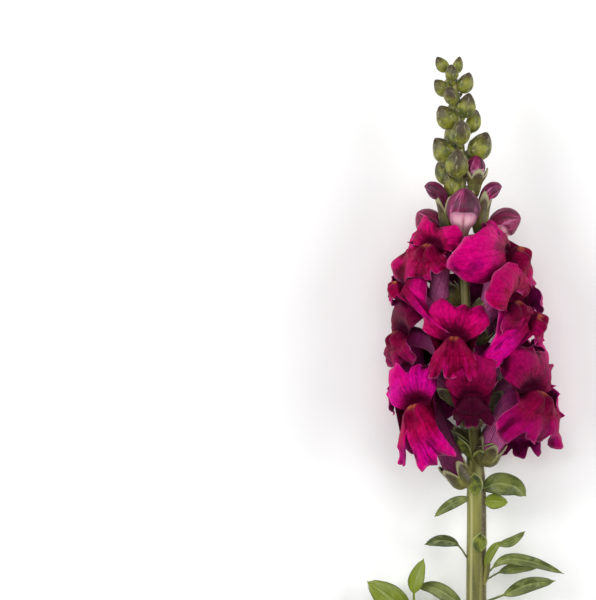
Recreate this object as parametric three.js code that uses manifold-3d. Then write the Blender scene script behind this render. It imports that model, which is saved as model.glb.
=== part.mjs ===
// A cut snapdragon stem that lies on a flat surface, in millimetres.
//
// +Y runs along the stem to its tip, +Z is up and +X is to the right of the stem seen from above. The
// stem rises gently from its cut end to the flower head, which lies on the petals of its lower florets.
// Every floret has a tube, a palate of two humps, an upper lip of two lobes and a lower lip of three
// waved lobes.

import * as THREE from "three";
import Module from "manifold-3d";

const wasm = await Module();
wasm.setup();

// ---------------------------------------------------------------- driving dimensions

const PETAL_THICKNESS = 0.8;
const LEAF_THICKNESS = 0.8;
const CALYX_WALL = 0.8;
const CALYX_DEPTH = 7; // how deep a calyx holds its open floret
const CALYX_SIDES = 10; // two for each of the five sepals
const PEDICEL_REACH = 5.5; // from the stem's skin to a corolla's foot
const CLEARANCE = 0.3; // gap kept between neighbouring pieces
const SMALLEST_EDGE = 0.06; // edges shorter than this are merged after a cut
const SETTLE = 0.4; // petals this near the ground lie flat on it

// The stem's centre line and radius: x, y, z, radius.
const STEM_LINE = [
  [0.8, 0, 4.1, 4.5],
  [0.4, 40, 7.2, 4.3],
  [0, 90, 12, 4.0],
  [0, 130, 16.2, 3.7],
  [-0.8, 150, 18.4, 3.0],
  [-2.4, 170, 20.8, 2.6],
  [-5, 210, 25.2, 2.1],
  [-6.2, 240, 28.2, 1.9],
  [-6.6, 264, 30.2, 1.7],
  [-8.4, 290, 32.2, 1.3],
  [-10.4, 303, 33.2, 0.8],
];
const STEM_SIDES = 10;
const STEM_RINGS = 11;
const BUD_SIDES = 8;

// One floret at full size, measured in its own frame: side, up and out of the mouth.
const FLORET = {
  mouthHalfWidth: 5.2,
  mouthHalfHeight: 4.4,
  tubeBaseRadius: 2.6,
  sacRadius: 3.8,
  upperHeight: 14,
  upperFan: 54,
  upperForward: 3.4,
  upperReflex: 5.5,
  wingSweep: 10,
  lowerHalfWidth: 12.5,
  lowerDrop: 1,
  ruffle: 1.2,
};

// Open florets. mouth is the middle of the mouth, as x, y and height above the stem's line; root is the y
// where the pedicel leaves the stem. azimuth turns the mouth round the stem (0 is up, 90 is right), rise
// lifts it towards the tip, roll turns it about its own axis. Any size of FLORET may be changed for one
// floret. wing is a lobe of the upper lip that sweeps far back on one side (-1 left, 1 right): its
// longest ray, the directions of its first and last ray from straight up, how far they swing down along
// the way, and their turn from forward (0) over outward (90) to backward (180) at both ends.
const FLORETS = [
  {
    mouth: [-17.0, 230.5, 12], root: 206, azimuth: -42, rise: 8, roll: -8, size: 0.97,
    upperHeight: 9.5, upperFan: 68, lowerHalfWidth: 13.5, lowerDrop: 0.9,
  },
  {
    mouth: [12.6, 227.9, 6], root: 201, azimuth: 72, rise: 12, roll: 38, size: 1.1,
    upperHeight: 10.5, upperReflex: 8, wingSweep: 8, lowerDrop: 0.75,
    wing: { side: -1, reach: 27, headings: [18, 96], swing: 0, turns: [80, 185] },
  },
  {
    mouth: [12.4, 207.5, 13], root: 190, azimuth: 54, rise: 0, roll: 12, size: 1.02,
    upperHeight: 15, upperForward: 5, upperFan: 64, wingSweep: 12, lowerHalfWidth: 13.5,
  },
  {
    mouth: [-28.4, 211.8, 7], root: 186, azimuth: -84, rise: 24, roll: -34, size: 1.0,
    upperHeight: 9.5, upperReflex: 8, wingSweep: 8, lowerDrop: 0.45,
    wing: { side: 1, reach: 30, headings: [50, 96], swing: 15, turns: [80, 190] },
  },
  { mouth: [-28.6, 195.5, 3], root: 178, azimuth: -66, rise: 0, roll: 4, size: 0.95, lowerDrop: 0.9 },
  {
    mouth: [-9.6, 193.0, 23], root: 172, azimuth: -6, rise: 4, roll: -2, size: 1.0,
    upperHeight: 12.5, upperFan: 58, lowerHalfWidth: 9.5,
  },
  {
    mouth: [-23.0, 166.5, 18], root: 129, azimuth: -28, rise: -4, roll: 16, size: 1.08,
    upperHeight: 13.5, upperFan: 44, lowerHalfWidth: 10, lowerDrop: 1.6, calyxDepth: 9.5,
  },
  {
    mouth: [-3.2, 170.0, 27], root: 157, azimuth: 2, rise: -8, roll: 2, size: 0.98,
    upperHeight: 15, upperFan: 40, wingSweep: 11, lowerHalfWidth: 9, lowerDrop: 0.45,
  },
  {
    mouth: [20.0, 192.0, 11], root: 168, azimuth: 68, rise: 10, roll: 52, size: 1.03,
    upperHeight: 10.5, upperReflex: 8, wingSweep: 8, lowerDrop: 0.5,
    wing: { side: -1, reach: 30, headings: [35, 110], swing: 30, turns: [80, 185] },
  },
  {
    mouth: [19.0, 171.5, 13], root: 139, azimuth: 44, rise: -2, roll: -8, size: 1.14,
    ruffle: 1.6, calyxDepth: 8.5,
  },
  { mouth: [14.5, 216.0, -9], root: 196, azimuth: 122, rise: 8, roll: -6, size: 0.92 },
  { mouth: [-22.5, 222.0, -8], root: 203, azimuth: -128, rise: 8, roll: 5, size: 0.93 },
  { mouth: [-4.5, 208.0, -15], root: 190, azimuth: 178, rise: 6, roll: 0, size: 0.86 },
  { mouth: [21.0, 178.0, -13], root: 162, azimuth: 128, rise: 4, roll: 6, size: 1.02 },
  { mouth: [-24.0, 180.0, -14], root: 166, azimuth: -124, rise: 2, roll: -4, size: 1.02 },
  { mouth: [-2.5, 182.0, -16.2], root: 170, azimuth: 176, rise: 4, roll: 8, size: 0.86 },
  { mouth: [15.0, 160.0, -9], root: 147, azimuth: 140, rise: 0, roll: 0, size: 0.85 },
  { mouth: [-17.0, 160.0, -9], root: 145, azimuth: -138, rise: 0, roll: 4, size: 0.88 },
];

// Closed florets at the top of the raceme: name, foot and tip of the corolla as x, y and height above the
// stem's line, the widest radius, the y where the pedicel leaves the stem and how deep the calyx holds
// it.
const CLOSED_FLORETS = [
  ["Closed_floret_front", [-6.8, 231.0, 9], [-5.6, 254.2, 15], 6.6, 224, 4],
  ["Closed_floret_left", [-12.5, 230.0, -3], [-24.5, 246.0, -3], 5.6, 223, 5],
  ["Closed_floret_right", [1.0, 231.0, -3], [16.4, 245.0, -3], 6.0, 225, 5],
  ["Opening_bud_left", [-11.0, 244.5, 2], [-21.0, 257.0, 4], 3.9, 238, 9],
  ["Opening_bud_right", [1.4, 244.5, 2], [9.4, 255.5, 3], 3.9, 238, 9],
  ["Opening_bud_upper", [-2.2, 254.0, 4], [-0.6, 266.5, 6], 3.9, 248, 6],
  ["Opening_bud_back", [-5.5, 242.0, -7], [-3.5, 256.0, -12], 4.4, 236, 7],
].map(([name, foot, tip, radius, root, cup]) => ({ name, foot, tip, radius, root, cup }));

// Green buds: middle as x, y, height above the stem's line, then width, length, lean to the right and
// lean upwards.
const GREEN_BUDS = [
  [-14.4, 304.0, 0.0, 4.8, 7.0, -34, 0],
  [-8.0, 303.8, -1.5, 4.0, 6.8, 12, -8],
  [-10.6, 300.6, 2.6, 5.0, 7.0, -6, 22],
  [-5.0, 296.6, 0.5, 6.2, 8.6, 22, 4],
  [-14.4, 294.8, 0.0, 5.8, 8.0, -42, 4],
  [-10.9, 291.6, 4.0, 5.8, 8.2, -24, 30],
  [-4.6, 287.6, 2.4, 7.0, 10.2, 12, 16],
  [-12.8, 283.0, 2.0, 8.0, 10.4, -30, 16],
  [-1.6, 281.4, -3.0, 5.6, 9.4, 14, -18],
  [-7.0, 276.8, 5.6, 7.2, 10.6, 4, 26],
  [1.0, 271.4, 0.6, 8.8, 11.8, 26, 4],
  [-13.8, 269.6, 0.8, 8.6, 11.6, -34, 6],
  [-8.4, 264.4, 6.8, 8.6, 11.8, 2, 24],
  [-13.6, 260.6, -4.4, 6.4, 9.8, -26, -20],
  [-10.4, 296.6, -4.2, 5.4, 7.6, -10, -30],
  [-8.6, 287.0, -5.0, 6.2, 8.8, 6, -30],
  [-9.6, 275.6, -5.6, 7.2, 10.0, -12, -30],
  [-4.2, 265.4, -6.0, 7.8, 11.0, 16, -28],
];

// Bracts below the head: foot y, azimuth round the stem, length, width, lean away from the stem.
const BRACTS = [
  [153, -62, 13, 4.2, 52],
  [150.4, 30, 9, 5.0, 74],
  [152, 66, 10, 4.6, 48],
  [134, -14, 11, 5.0, 14],
  [162, 150, 9, 4.0, 55],
  [158, -150, 9, 4.0, 55],
];

// Leaves: name, widest half width, how far the two halves fold up (degrees) and the midrib's points as x,
// y, z.
const LEAVES = [
  ["Leaf_right_top", 3.9, 16, [2.5, 134, 19], [8, 136.2, 21], [15, 135, 21.5], [19.8, 131.2, 20]],
  ["Leaf_right_small", 2.7, 18, [2.8, 129.5, 17.5], [7.5, 129.6, 17.5], [12.6, 129.2, 16.8]],
  ["Leaf_left_top", 1.9, 14, [-2.6, 130.4, 17], [-8, 129.4, 18], [-13, 126.4, 18], [-17, 122.8, 17]],
  ["Leaf_left_middle", 2.4, 18, [-3, 105, 14], [-8.0, 112.5, 16], [-14.5, 114, 17], [-21, 112, 16]],
  ["Leaf_right_curled", 1.9, 26, [5, 108, 16.5], [9.5, 112.5, 19], [14, 114, 19.5], [19.6, 117.5, 17]],
  ["Leaf_right_shoot", 1.9, 24, [3.2, 100, 14.5], [4.6, 106, 17], [7.2, 111, 18.5], [10.8, 113.6, 19]],
  ["Leaf_right_long", 2.6, 16, [3.4, 99, 14], [11, 105.5, 17], [22, 105, 17], [35.4, 100, 13.5]],
  ["Leaf_right_under", 2.3, 12, [4, 97, 10.5], [10, 100.5, 11.5], [17, 102.5, 11.5], [24.4, 102, 10]],
  ["Leaf_right_low", 3.2, 18, [4, 90.5, 12.5], [12, 94, 15], [21, 98, 15.5], [32, 98, 13]],
  ["Leaf_left_dark", 3.2, 14, [-4.4, 86, 12.5], [-10, 90, 14], [-17, 94, 14], [-24, 94.4, 12]],
  ["Leaf_left_upright", 3.2, 20, [-25, 87, 12.5], [-24.6, 92, 14.5], [-23.5, 98, 15.5], [-20.6, 106, 15]],
  ["Leaf_left_large", 6.0, 16, [-25, 79.5, 10], [-31, 86, 12.5], [-37, 91.5, 12.5], [-44, 96.4, 10]],
  ["Leaf_low_right", 5.0, 18, [4.4, 52, 9], [14, 62, 13], [24, 72, 13.5], [34, 78, 10]],
  ["Leaf_low_left", 5.0, 18, [-4, 40, 8], [-14, 49, 12], [-25, 57, 12], [-36, 61, 8.5]],
  ["Leaf_low_front", 4.2, 20, [1.6, 58, 13.5], [0, 68, 20], [-3, 78, 23], [-7, 88, 22]],
].map(([name, half, fold, ...rib]) => ({ name, half, fold, rib }));

// Side shoots that carry leaves, each as its stalk's points: a longer one on the left, a short one on the
// right.
const SHOOTS = [
  [[-1, 62, 9.5], [-12, 68, 10], [-21, 76, 10.5], [-25.4, 86, 12]],
  [[0, 92, 12.5], [3.4, 98, 14.4], [4.6, 104, 16]],
];
const SHOOT_RADIUS = [1.7, 1.1]; // at its foot and at its end

const COLOURS = {
  green: { color: 0x7d8a3a, roughness: 0.6 },
  leaf: { color: 0x5f7a34, roughness: 0.55 },
  crimson: { color: 0xb4004c, roughness: 0.7 },
  magenta: { color: 0xd4087c, roughness: 0.7 },
  mauve: { color: 0x7c2450, roughness: 0.7 },
};

// ---------------------------------------------------------------- small helpers

const radians = THREE.MathUtils.degToRad;
const vector = (x, y, z) => new THREE.Vector3(x, y, z);
const bell = (x, middle, width) => Math.exp(-(((x - middle) / width) ** 2));

/** The stem's centre and radius at the height y, by a smooth curve through STEM_LINE. */
const stemCurve = new THREE.CatmullRomCurve3(STEM_LINE.map(([x, y, z]) => vector(x, y, z)));
const radiusCurve = new THREE.SplineCurve(STEM_LINE.map(([, y, , r]) => new THREE.Vector2(y, r)));

function findOnCurve(curve, y) {
  let low = 0;
  let high = 1;
  for (let step = 0; step < 30; step += 1) {
    const middle = (low + high) / 2;
    const point = curve.getPoint(middle);
    const height = point.isVector2 ? point.x : point.y;
    if (height < y) low = middle;
    else high = middle;
  }
  return curve.getPoint(low);
}

const stemCentre = (y) => findOnCurve(stemCurve, y);
const stemRadius = (y) => findOnCurve(radiusCurve, y).y;

/** A point given as x, y and height above the stem's line. */
function beside([x, y, above]) {
  return vector(x, y, stemCentre(y).z + above);
}

/** Unit vector that points away from the stem at an azimuth: 0 is up, 90 is to the right. */
function outward(azimuth, rise = 0) {
  const turn = radians(azimuth);
  const flat = Math.cos(radians(rise));
  return vector(Math.sin(turn) * flat, Math.sin(radians(rise)), Math.cos(turn) * flat);
}

/** An orthonormal frame whose third axis is forward and whose second is as near to up as it can be. */
function frameAlong(forward, up) {
  const side = up.clone().cross(forward).normalize();
  return { side, up: forward.clone().cross(side).normalize(), forward: forward.clone().normalize() };
}

/** A closed solid from vertices and triangles that share them. */
function solid(points, triangles) {
  const made = new wasm.Manifold(
    new wasm.Mesh({
      numProp: 3,
      vertProperties: new Float32Array(points.flatMap((point) => [point.x, point.y, point.z])),
      triVerts: new Uint32Array(triangles.flat()),
    }),
  );
  return made;
}

/**
 * Rings of equally many points, closed by a fan at each end. Each ring runs anticlockwise seen from the
 * next one. start and end move the fans' middles away from the first and the last ring. From the band
 * turnBack on, where a blade's second face runs back along its first, the squares are cut along their
 * other diagonal, so that both faces are cut alike.
 */
function ringSolid(rings, { start, end, turnBack = Infinity } = {}) {
  const sides = rings[0].length;
  const points = rings.flat();
  const triangles = [];
  for (let band = 0; band + 1 < rings.length; band += 1)
    for (let k = 0; k < sides; k += 1) {
      const a = band * sides + k;
      const b = band * sides + ((k + 1) % sides);
      if (band < turnBack) triangles.push([a, b, b + sides], [a, b + sides, a + sides]);
      else triangles.push([a, b, a + sides], [b, b + sides, a + sides]);
    }
  const middle = (ring) => ring.reduce((sum, point) => sum.add(point), vector(0, 0, 0)).divideScalar(sides);
  const last = (rings.length - 1) * sides;
  points.push(start ?? middle(rings[0]), end ?? middle(rings[rings.length - 1]));
  for (let k = 0; k < sides; k += 1) {
    const next = (k + 1) % sides;
    triangles.push([next, k, points.length - 2], [last + k, last + next, points.length - 1]);
  }
  return solid(points, triangles);
}

/** A ring round a centre in a frame's side and up plane. radiusAt(k) may differ from point to point. */
function ringAround(centre, axes, sides, radiusAt, liftAt = () => 0) {
  const ring = [];
  for (let k = 0; k < sides; k += 1) {
    const turn = (2 * Math.PI * k) / sides;
    ring.push(
      centre
        .clone()
        .addScaledVector(axes.side, radiusAt(k) * Math.cos(turn))
        .addScaledVector(axes.up, radiusAt(k) * Math.sin(turn))
        .addScaledVector(axes.forward, liftAt(k)),
    );
  }
  return ring;
}

/**
 * A thin blade on a grid: pointAt(p, q) is its middle surface, p runs across from -1 to 1 and q along
 * from 0 to 1. Both faces are split into triangles alike. A blade that would dip under the ground lies
 * flat on it.
 */
function blade(pointAt, across, along, thickness, grow = 0) {
  const half = thickness / 2;
  const middle = [];
  for (let j = 0; j <= along; j += 1)
    for (let i = 0; i <= across; i += 1) {
      const point = pointAt((2 * i) / across - 1, j / along);
      point.z = Math.max(point.z, half);
      middle.push(point);
    }
  const width = across + 1;
  const { clamp } = THREE.MathUtils;
  const at = (i, j) => middle[clamp(j, 0, along) * width + clamp(i, 0, across)];
  const top = [];
  const bottom = [];
  for (let j = 0; j <= along; j += 1)
    for (let i = 0; i <= across; i += 1) {
      const acrossStep = at(i + 1, j).clone().sub(at(i - 1, j));
      const alongStep = at(i, j + 1).clone().sub(at(i, j - 1));
      const normal = acrossStep.cross(alongStep).normalize();
      const point = at(i, j);
      top.push(point.clone().addScaledVector(normal, half + grow));
      bottom.push(point.clone().addScaledVector(normal, -half - grow));
    }
  if (grow === 0) for (const point of [...top, ...bottom]) point.z = Math.max(point.z, 0);
  const count = top.length;
  const triangles = [];
  const wall = (a, b) => triangles.push([a, a + count, b + count], [a, b + count, b]);
  for (let j = 0; j < along; j += 1)
    for (let i = 0; i < across; i += 1) {
      const a = j * width + i;
      const b = a + 1;
      const c = b + width;
      const d = a + width;
      triangles.push([a, b, c], [a, c, d]);
      triangles.push([a + count, c + count, b + count], [a + count, d + count, c + count]);
    }
  for (let i = 0; i < across; i += 1) {
    wall(i, i + 1);
    wall(along * width + i + 1, along * width + i);
  }
  for (let j = 0; j < along; j += 1) {
    wall((j + 1) * width, j * width);
    wall(j * width + across, (j + 1) * width + across);
  }
  return solid([...top, ...bottom], triangles);
}

/** The largest connected body of a solid, with edges too short to matter merged. */
function mainBody(whole) {
  const bodies = whole.simplify(SMALLEST_EDGE).decompose();
  return bodies.reduce((best, body) => (body.volume() > best.volume() ? body : best));
}

function boxesMeet(a, b) {
  const p = a.boundingBox();
  const q = b.boundingBox();
  return [0, 1, 2].every((k) => p.min[k] < q.max[k] && q.min[k] < p.max[k]);
}

function meshOf(name, body, look) {
  const { vertProperties, triVerts, numProp } = body.getMesh();
  const geometry = new THREE.BufferGeometry();
  const positions = new Float32Array((vertProperties.length / numProp) * 3);
  for (let k = 0; k < positions.length; k += 1)
    positions[k] = vertProperties[Math.floor(k / 3) * numProp + (k % 3)];
  geometry.setAttribute("position", new THREE.BufferAttribute(positions, 3));
  geometry.setIndex(new THREE.BufferAttribute(new Uint32Array(triVerts), 1));
  geometry.computeVertexNormals();
  const material = new THREE.MeshStandardMaterial({ ...COLOURS[look], metalness: 0 });
  const mesh = new THREE.Mesh(geometry, material);
  mesh.name = name;
  return mesh;
}

// ---------------------------------------------------------------- florets

/** The floret's frame at its mouth: side, up and forward, each as long as the floret's size. */
function floretFrame(floret) {
  const forward = outward(floret.azimuth, floret.rise);
  const axes = frameAlong(forward, vector(0, 1, 0));
  axes.side.applyAxisAngle(forward, radians(floret.roll));
  axes.up.applyAxisAngle(forward, radians(floret.roll));
  const mouth = beside(floret.mouth);
  const place = (a, b, c) =>
    mouth
      .clone()
      .addScaledVector(axes.side, a * floret.size)
      .addScaledVector(axes.up, b * floret.size)
      .addScaledVector(axes.forward, c * floret.size);
  return { ...axes, mouth, place };
}

/** Where the calyx holds the corolla, and the direction in which the corolla leaves it. */
function floretFoot(floret) {
  const onStem = stemCentre(floret.root);
  const toMouth = beside(floret.mouth).sub(onStem);
  const leaving = toMouth.clone().normalize().add(vector(0, 0.25, 0)).normalize();
  const reach = stemRadius(floret.root) + PEDICEL_REACH;
  return { leaving, foot: onStem.addScaledVector(leaving, reach) };
}

/**
 * Upper lip, p from -1 to 1 across and q from 0 at the rim to 1 at the margin. Rays fan out from the top
 * of the rim. The blade bulges forward as a hood, turns back at its margin, and its two sides sweep back
 * as wings. A notch parts its two lobes.
 */
function upperLip(sizes, p, q) {
  const rim = radians(80) * p;
  const fan = radians(sizes.upperFan) * p;
  const lobes = 1 - 0.16 * bell(p, 0, 0.16) - 0.2 * Math.abs(p) ** 4;
  const reach = sizes.upperHeight * lobes * q;
  const hood = sizes.upperForward * Math.sin(Math.PI * 0.6 * q);
  const reflex = sizes.upperReflex * q ** 2.4;
  const wing = sizes.wingSweep * Math.abs(p) ** 1.7 * q ** 1.15;
  return [
    sizes.mouthHalfWidth * Math.sin(rim) + reach * Math.sin(fan),
    sizes.mouthHalfHeight * Math.cos(rim) + reach * Math.cos(fan),
    hood - reflex - wing,
  ];
}

/**
 * A lobe of the upper lip that sweeps far back. Its rays leave the side of the rim, fan out in the
 * mouth's plane and turn backward on their way: each is added up from short steps.
 */
function wing(floret, axes, grow = 0) {
  const { side, reach, headings, swing, turns } = floret.wing;
  const { mouthHalfWidth, mouthHalfHeight } = FLORET;
  const steps = 12;
  const pointAt = (p, q) => {
    const out = THREE.MathUtils.mapLinear(p, -1, 1, 0.2, 0.96);
    const rim = radians(80) * out;
    const ray = reach * (0.5 + 0.5 * Math.sin((Math.PI / 2) * out)) * (1 - 0.45 * out ** 6);
    const point = [mouthHalfWidth * Math.sin(rim), mouthHalfHeight * Math.cos(rim), 0];
    for (let step = 0; step < steps; step += 1) {
      const share = (q * (step + 0.5)) / steps;
      const heading = radians(THREE.MathUtils.lerp(...headings, (p + 1) / 2) + swing * share);
      const turn = radians(THREE.MathUtils.lerp(...turns, share));
      const run = (ray * q) / steps;
      point[0] += run * Math.sin(turn) * Math.sin(heading);
      point[1] += run * Math.sin(turn) * Math.cos(heading);
      point[2] += run * Math.cos(turn);
    }
    return axes.place(side * point[0], point[1], point[2]);
  };
  return blade(pointAt, 2, 4, PETAL_THICKNESS, grow);
}

// The lower lip's middle line from the rim to the margin: up, forward and half width.
const LOWER_LIP_POINTS = [
  [-4.4, 0, 5.2],
  [-5.2, 5.4, 6.4],
  [-8, 8.4, 9],
  [-12.4, 9, 11.8],
  [-17, 7, 12.5],
];
const LOWER_LIP_LINE = new THREE.CatmullRomCurve3(LOWER_LIP_POINTS.map((point) => vector(...point)));
const LIP_FOLD = 0.45; // where the lower lip's free blade starts, as a share of its length

/**
 * Lower lip, p from -1 to 1 across and q from 0 at the rim to 1 at the margin. It runs forward under the
 * palate and droops as three waved lobes, the middle one the smallest. Its sides stand higher and further
 * back.
 */
function lowerLip(sizes, p, q) {
  const lobes = 1 - 0.24 * bell(Math.abs(p), 0.36, 0.1) - 0.08 * bell(p, 0, 0.2) - 0.22 * Math.abs(p) ** 6;
  const free = Math.max(q - LIP_FOLD, 0) / (1 - LIP_FOLD);
  const t = q < LIP_FOLD ? q : LIP_FOLD + (q - LIP_FOLD) * lobes;
  const line = LOWER_LIP_LINE.getPoint(Math.min(t, 1));
  const wave = sizes.ruffle * free ** 1.5 * Math.sin(Math.PI * 3.2 * p + sizes.root);
  const drop = Math.max(-8 - line.x, 0) * (sizes.lowerDrop - 1);
  const rim = 1 - Math.cos(radians(84) * p);
  return [
    (line.z * sizes.lowerHalfWidth * (q < 0.01 ? Math.sin(radians(84) * p) : p)) / 12.5,
    line.x - drop + 4.4 * rim + 1.4 * free * p ** 2,
    line.y - 5.4 * Math.min(q * 2, 1) * p ** 2 + wave,
  ];
}

/**
 * The palate's front, from the fold of the lower lip (r = 0) over its two humps to the crest in the
 * throat (r = 1).
 */
function palate(p, r) {
  const hump = (1 - 2 * bell(p, 0, 0.22)) * Math.sin(Math.PI * Math.min(r * 0.8 + 0.1, 1));
  const across = THREE.MathUtils.lerp(6.8, 4.2, r);
  return [
    across * p,
    THREE.MathUtils.lerp(-6.4, 2.4, r ** 0.8) + 1.6 * p ** 2 * (1 - r) - 1.6 * p ** 2 * r + 0.5 * hump,
    8.6 + 1.8 * Math.sin(Math.PI * r) - 3.4 * r - 3.2 * p ** 2 + 1.1 * hump,
  ];
}

const UPPER_COLUMNS = [1, 0.5, 0, -0.5, -1];

// Where the rings stand: shares of the tube's length, rows of the lips' free blades, and columns across
// the lower lip. The florets under the stem, whose mouths face the ground, have fewer.
const RINGS = {
  tube: [0, 0.26, 0.66],
  blade: [LIP_FOLD, 0.72, 1],
  lower: [-1, -0.7, -0.36, 0, 0.36, 0.7, 1],
};
const FEWER_RINGS = { tube: [0, 0.5], blade: [LIP_FOLD, 1], lower: [-1, -0.5, 0, 0.5, 1] };

/**
 * A corolla as one closed surface. Its rings run along the tube, out over the backs of the lips to their
 * margin, back over their fronts and the palate, and into the throat. grow makes it that much thicker all
 * round.
 */
function corolla(floret, grow = 0) {
  const sizes = { ...FLORET, ...floret };
  const axes = floretFrame(floret);
  const half = PETAL_THICKNESS / 2;
  const rows = Math.abs(floret.azimuth) > 100 ? FEWER_RINGS : RINGS;
  const columns = [
    ...UPPER_COLUMNS.map((p) => ({ p, at: (q) => upperLip(sizes, p, q), upper: true })),
    { corner: -1 },
    ...rows.lower.map((p) => ({ p, at: (q) => lowerLip(sizes, p, q) })),
    { corner: 1 },
  ];
  for (const column of columns.filter((one) => one.corner))
    column.at = (q) => [column.corner * (sizes.mouthHalfWidth + 3.4 * q), 0.2 * q, -0.8 * q];

  const middle = [0, ...rows.blade].map((q) =>
    columns.map((column) => {
      const point = axes.place(...column.at(q * (1 + grow / 12)));
      point.z = Math.max(point.z, half);
      return point;
    }),
  );
  const count = columns.length;
  const backward = (row, k) => {
    const across = middle[row][(k + 1) % count].clone().sub(middle[row][(k + count - 1) % count]);
    const outer = middle[Math.min(row + 1, middle.length - 1)][k];
    const along = outer.clone().sub(middle[Math.max(row - 1, 0)][k]);
    return across.cross(along).normalize();
  };
  const settle = (point) => {
    if (grow === 0 && point.z < SETTLE) point.z = 0;
    return point;
  };
  const face = (row, sign) =>
    middle[row].map((point, k) => {
      const moved = point.clone().addScaledVector(backward(row, k), sign * (half + grow));
      return settle(moved);
    });

  const curve = corollaPath(floret, axes);
  const tubeRing = (t) => {
    const section = frameAlong(curve.getTangent(t), axes.up);
    const radius = grow + floret.size * tubeRadius(sizes, t);
    return columns.map((column, k) => {
      const [a, b] = column.at(0);
      const turn = Math.atan2(b / sizes.mouthHalfHeight, a / sizes.mouthHalfWidth);
      return curve
        .getPoint(t)
        .addScaledVector(section.side, radius * Math.cos(turn))
        .addScaledVector(section.up, radius * 0.9 * Math.sin(turn));
    });
  };
  const rim = columns.map((column) => {
    const [a, b] = column.at(0);
    const swell = 1 + grow / 4;
    return axes.place(a * swell, b * swell, 0);
  });
  const front = (upperAt, lowerAt, cornerAt) =>
    columns.map((column) => {
      const atCorner = () => [column.corner * cornerAt[0], cornerAt[1], cornerAt[2]];
      const [a, b, c] = (column.corner ? atCorner : column.upper ? upperAt : lowerAt)(column);
      return settle(axes.place(a, b, c + grow));
    });
  const insideRim = (share, depth) => (column) => {
    const [a, b] = column.at(0);
    return [a * share, b * share, depth];
  };
  const blades = rows.blade.map((_, k) => k + 1);
  const bloom = ringSolid(
    [
      ...rows.tube.map(tubeRing),
      rim,
      ...blades.map((row) => face(row, 1)),
      ...blades.toReversed().map((row) => face(row, -1)),
      front(
        ({ p }) => {
          const [a, b, c] = upperLip(sizes, p, 0.2);
          return [a * 0.96, b * 0.96, c + half];
        },
        ({ p }) => palate(p, 0.5),
        [sizes.mouthHalfWidth, 0, 1.2],
      ),
      front(insideRim(0.8, 0.9), ({ p }) => palate(p, 1), [sizes.mouthHalfWidth * 0.84, 0.4, 1.4]),
    ],
    { end: axes.place(0, 2.2, 0.4 + grow), turnBack: rows.tube.length + rows.blade.length + 1 },
  );
  return floret.wing ? bloom.add(wing(floret, axes, grow)) : bloom;
}

/** The tube's centre line, from the calyx to just behind the mouth. */
function corollaPath(floret, axes) {
  const { foot, leaving } = floretFoot(floret);
  const throat = axes.place(0, 0, -1);
  const reach = foot.distanceTo(throat) * 0.38;
  return new THREE.CubicBezierCurve3(
    foot,
    foot.clone().addScaledVector(leaving, reach),
    throat.clone().addScaledVector(axes.forward, -reach),
    throat,
  );
}

/** The tube's radius along its length: a narrow foot, a sac just above it and a wide throat. */
function tubeRadius({ tubeBaseRadius, sacRadius, mouthHalfWidth }, t) {
  const taper = THREE.MathUtils.lerp(tubeBaseRadius, mouthHalfWidth * 0.96, t ** 1.4);
  return taper + (sacRadius - tubeBaseRadius) * bell(t, 0.22, 0.2);
}

// A closed corolla's outline from foot to tip: share of the length and share of the radius. The pair of
// rings near the middle is the step where the hood overlaps the lower lip.
const CLOSED_OUTLINE = [
  [0, 0.34],
  [0.2, 0.46],
  [0.38, 0.82],
  [0.56, 0.94],
  [0.6, 1.03],
  [0.74, 0.96],
  [0.88, 0.66],
  [0.97, 0.3],
];

/** The closed corolla's radius, as a share of the widest, at a share of its length. */
function closedOutline(along) {
  const next = Math.max(CLOSED_OUTLINE.findIndex(([at]) => at > along), 1);
  const [before, after] = [CLOSED_OUTLINE[next - 1], CLOSED_OUTLINE[next]];
  return THREE.MathUtils.mapLinear(along, before[0], after[0], before[1], after[1]);
}

/** A closed corolla: a pointed egg whose hood overlaps the lower lip in a step. */
function closedCorolla(bud, grow = 0) {
  const foot = beside(bud.foot);
  const tip = beside(bud.tip);
  const axes = frameAlong(tip.clone().sub(foot), outward(0));
  const rings = CLOSED_OUTLINE.map(([along, size]) =>
    ringAround(foot.clone().lerp(tip, along), axes, 8, () => bud.radius * size + grow),
  );
  return ringSolid(rings, { end: tip.clone().addScaledVector(axes.forward, grow) });
}

// ---------------------------------------------------------------- green parts

/**
 * Where a stalk that reaches to a point starts, so that it is well rooted: behind the middle of the stem.
 */
function rootOf(y, target) {
  const centre = stemCentre(y);
  const away = target.clone().sub(centre).normalize();
  return centre.addScaledVector(away, -0.8 * stemRadius(y));
}

/**
 * The five-lobed calyx that holds a corolla, a cup with a pointed rim, and the pedicel that it narrows
 * to. corollaRadius(h) is the radius of what it holds at a height above the foot, and the cup stands
 * clear of that.
 */
function calyx(root, foot, leaving, corollaRadius, depth) {
  const axes = frameAlong(leaving, vector(0, 0.2, 1).normalize());
  const base = -0.8;
  const notch = depth * 0.5;
  const height = (k) => (k % 2 ? notch : depth);
  const inside = (h) => corollaRadius(h) + 1.6 * CLEARANCE + 0.03 * h;
  const ring = (radiusAt, liftAt) => ringAround(foot, axes, CALYX_SIDES, radiusAt, liftAt);
  const rings = [
    ring(() => inside(0) + CALYX_WALL, () => base),
    ring((k) => inside(height(k)) + CALYX_WALL, height),
    ring((k) => inside(height(k)), (k) => height(k) - 0.2),
    ring(() => inside(0), () => base / 2),
  ];
  return ringSolid(rings, { start: rootOf(root, foot) });
}

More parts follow.
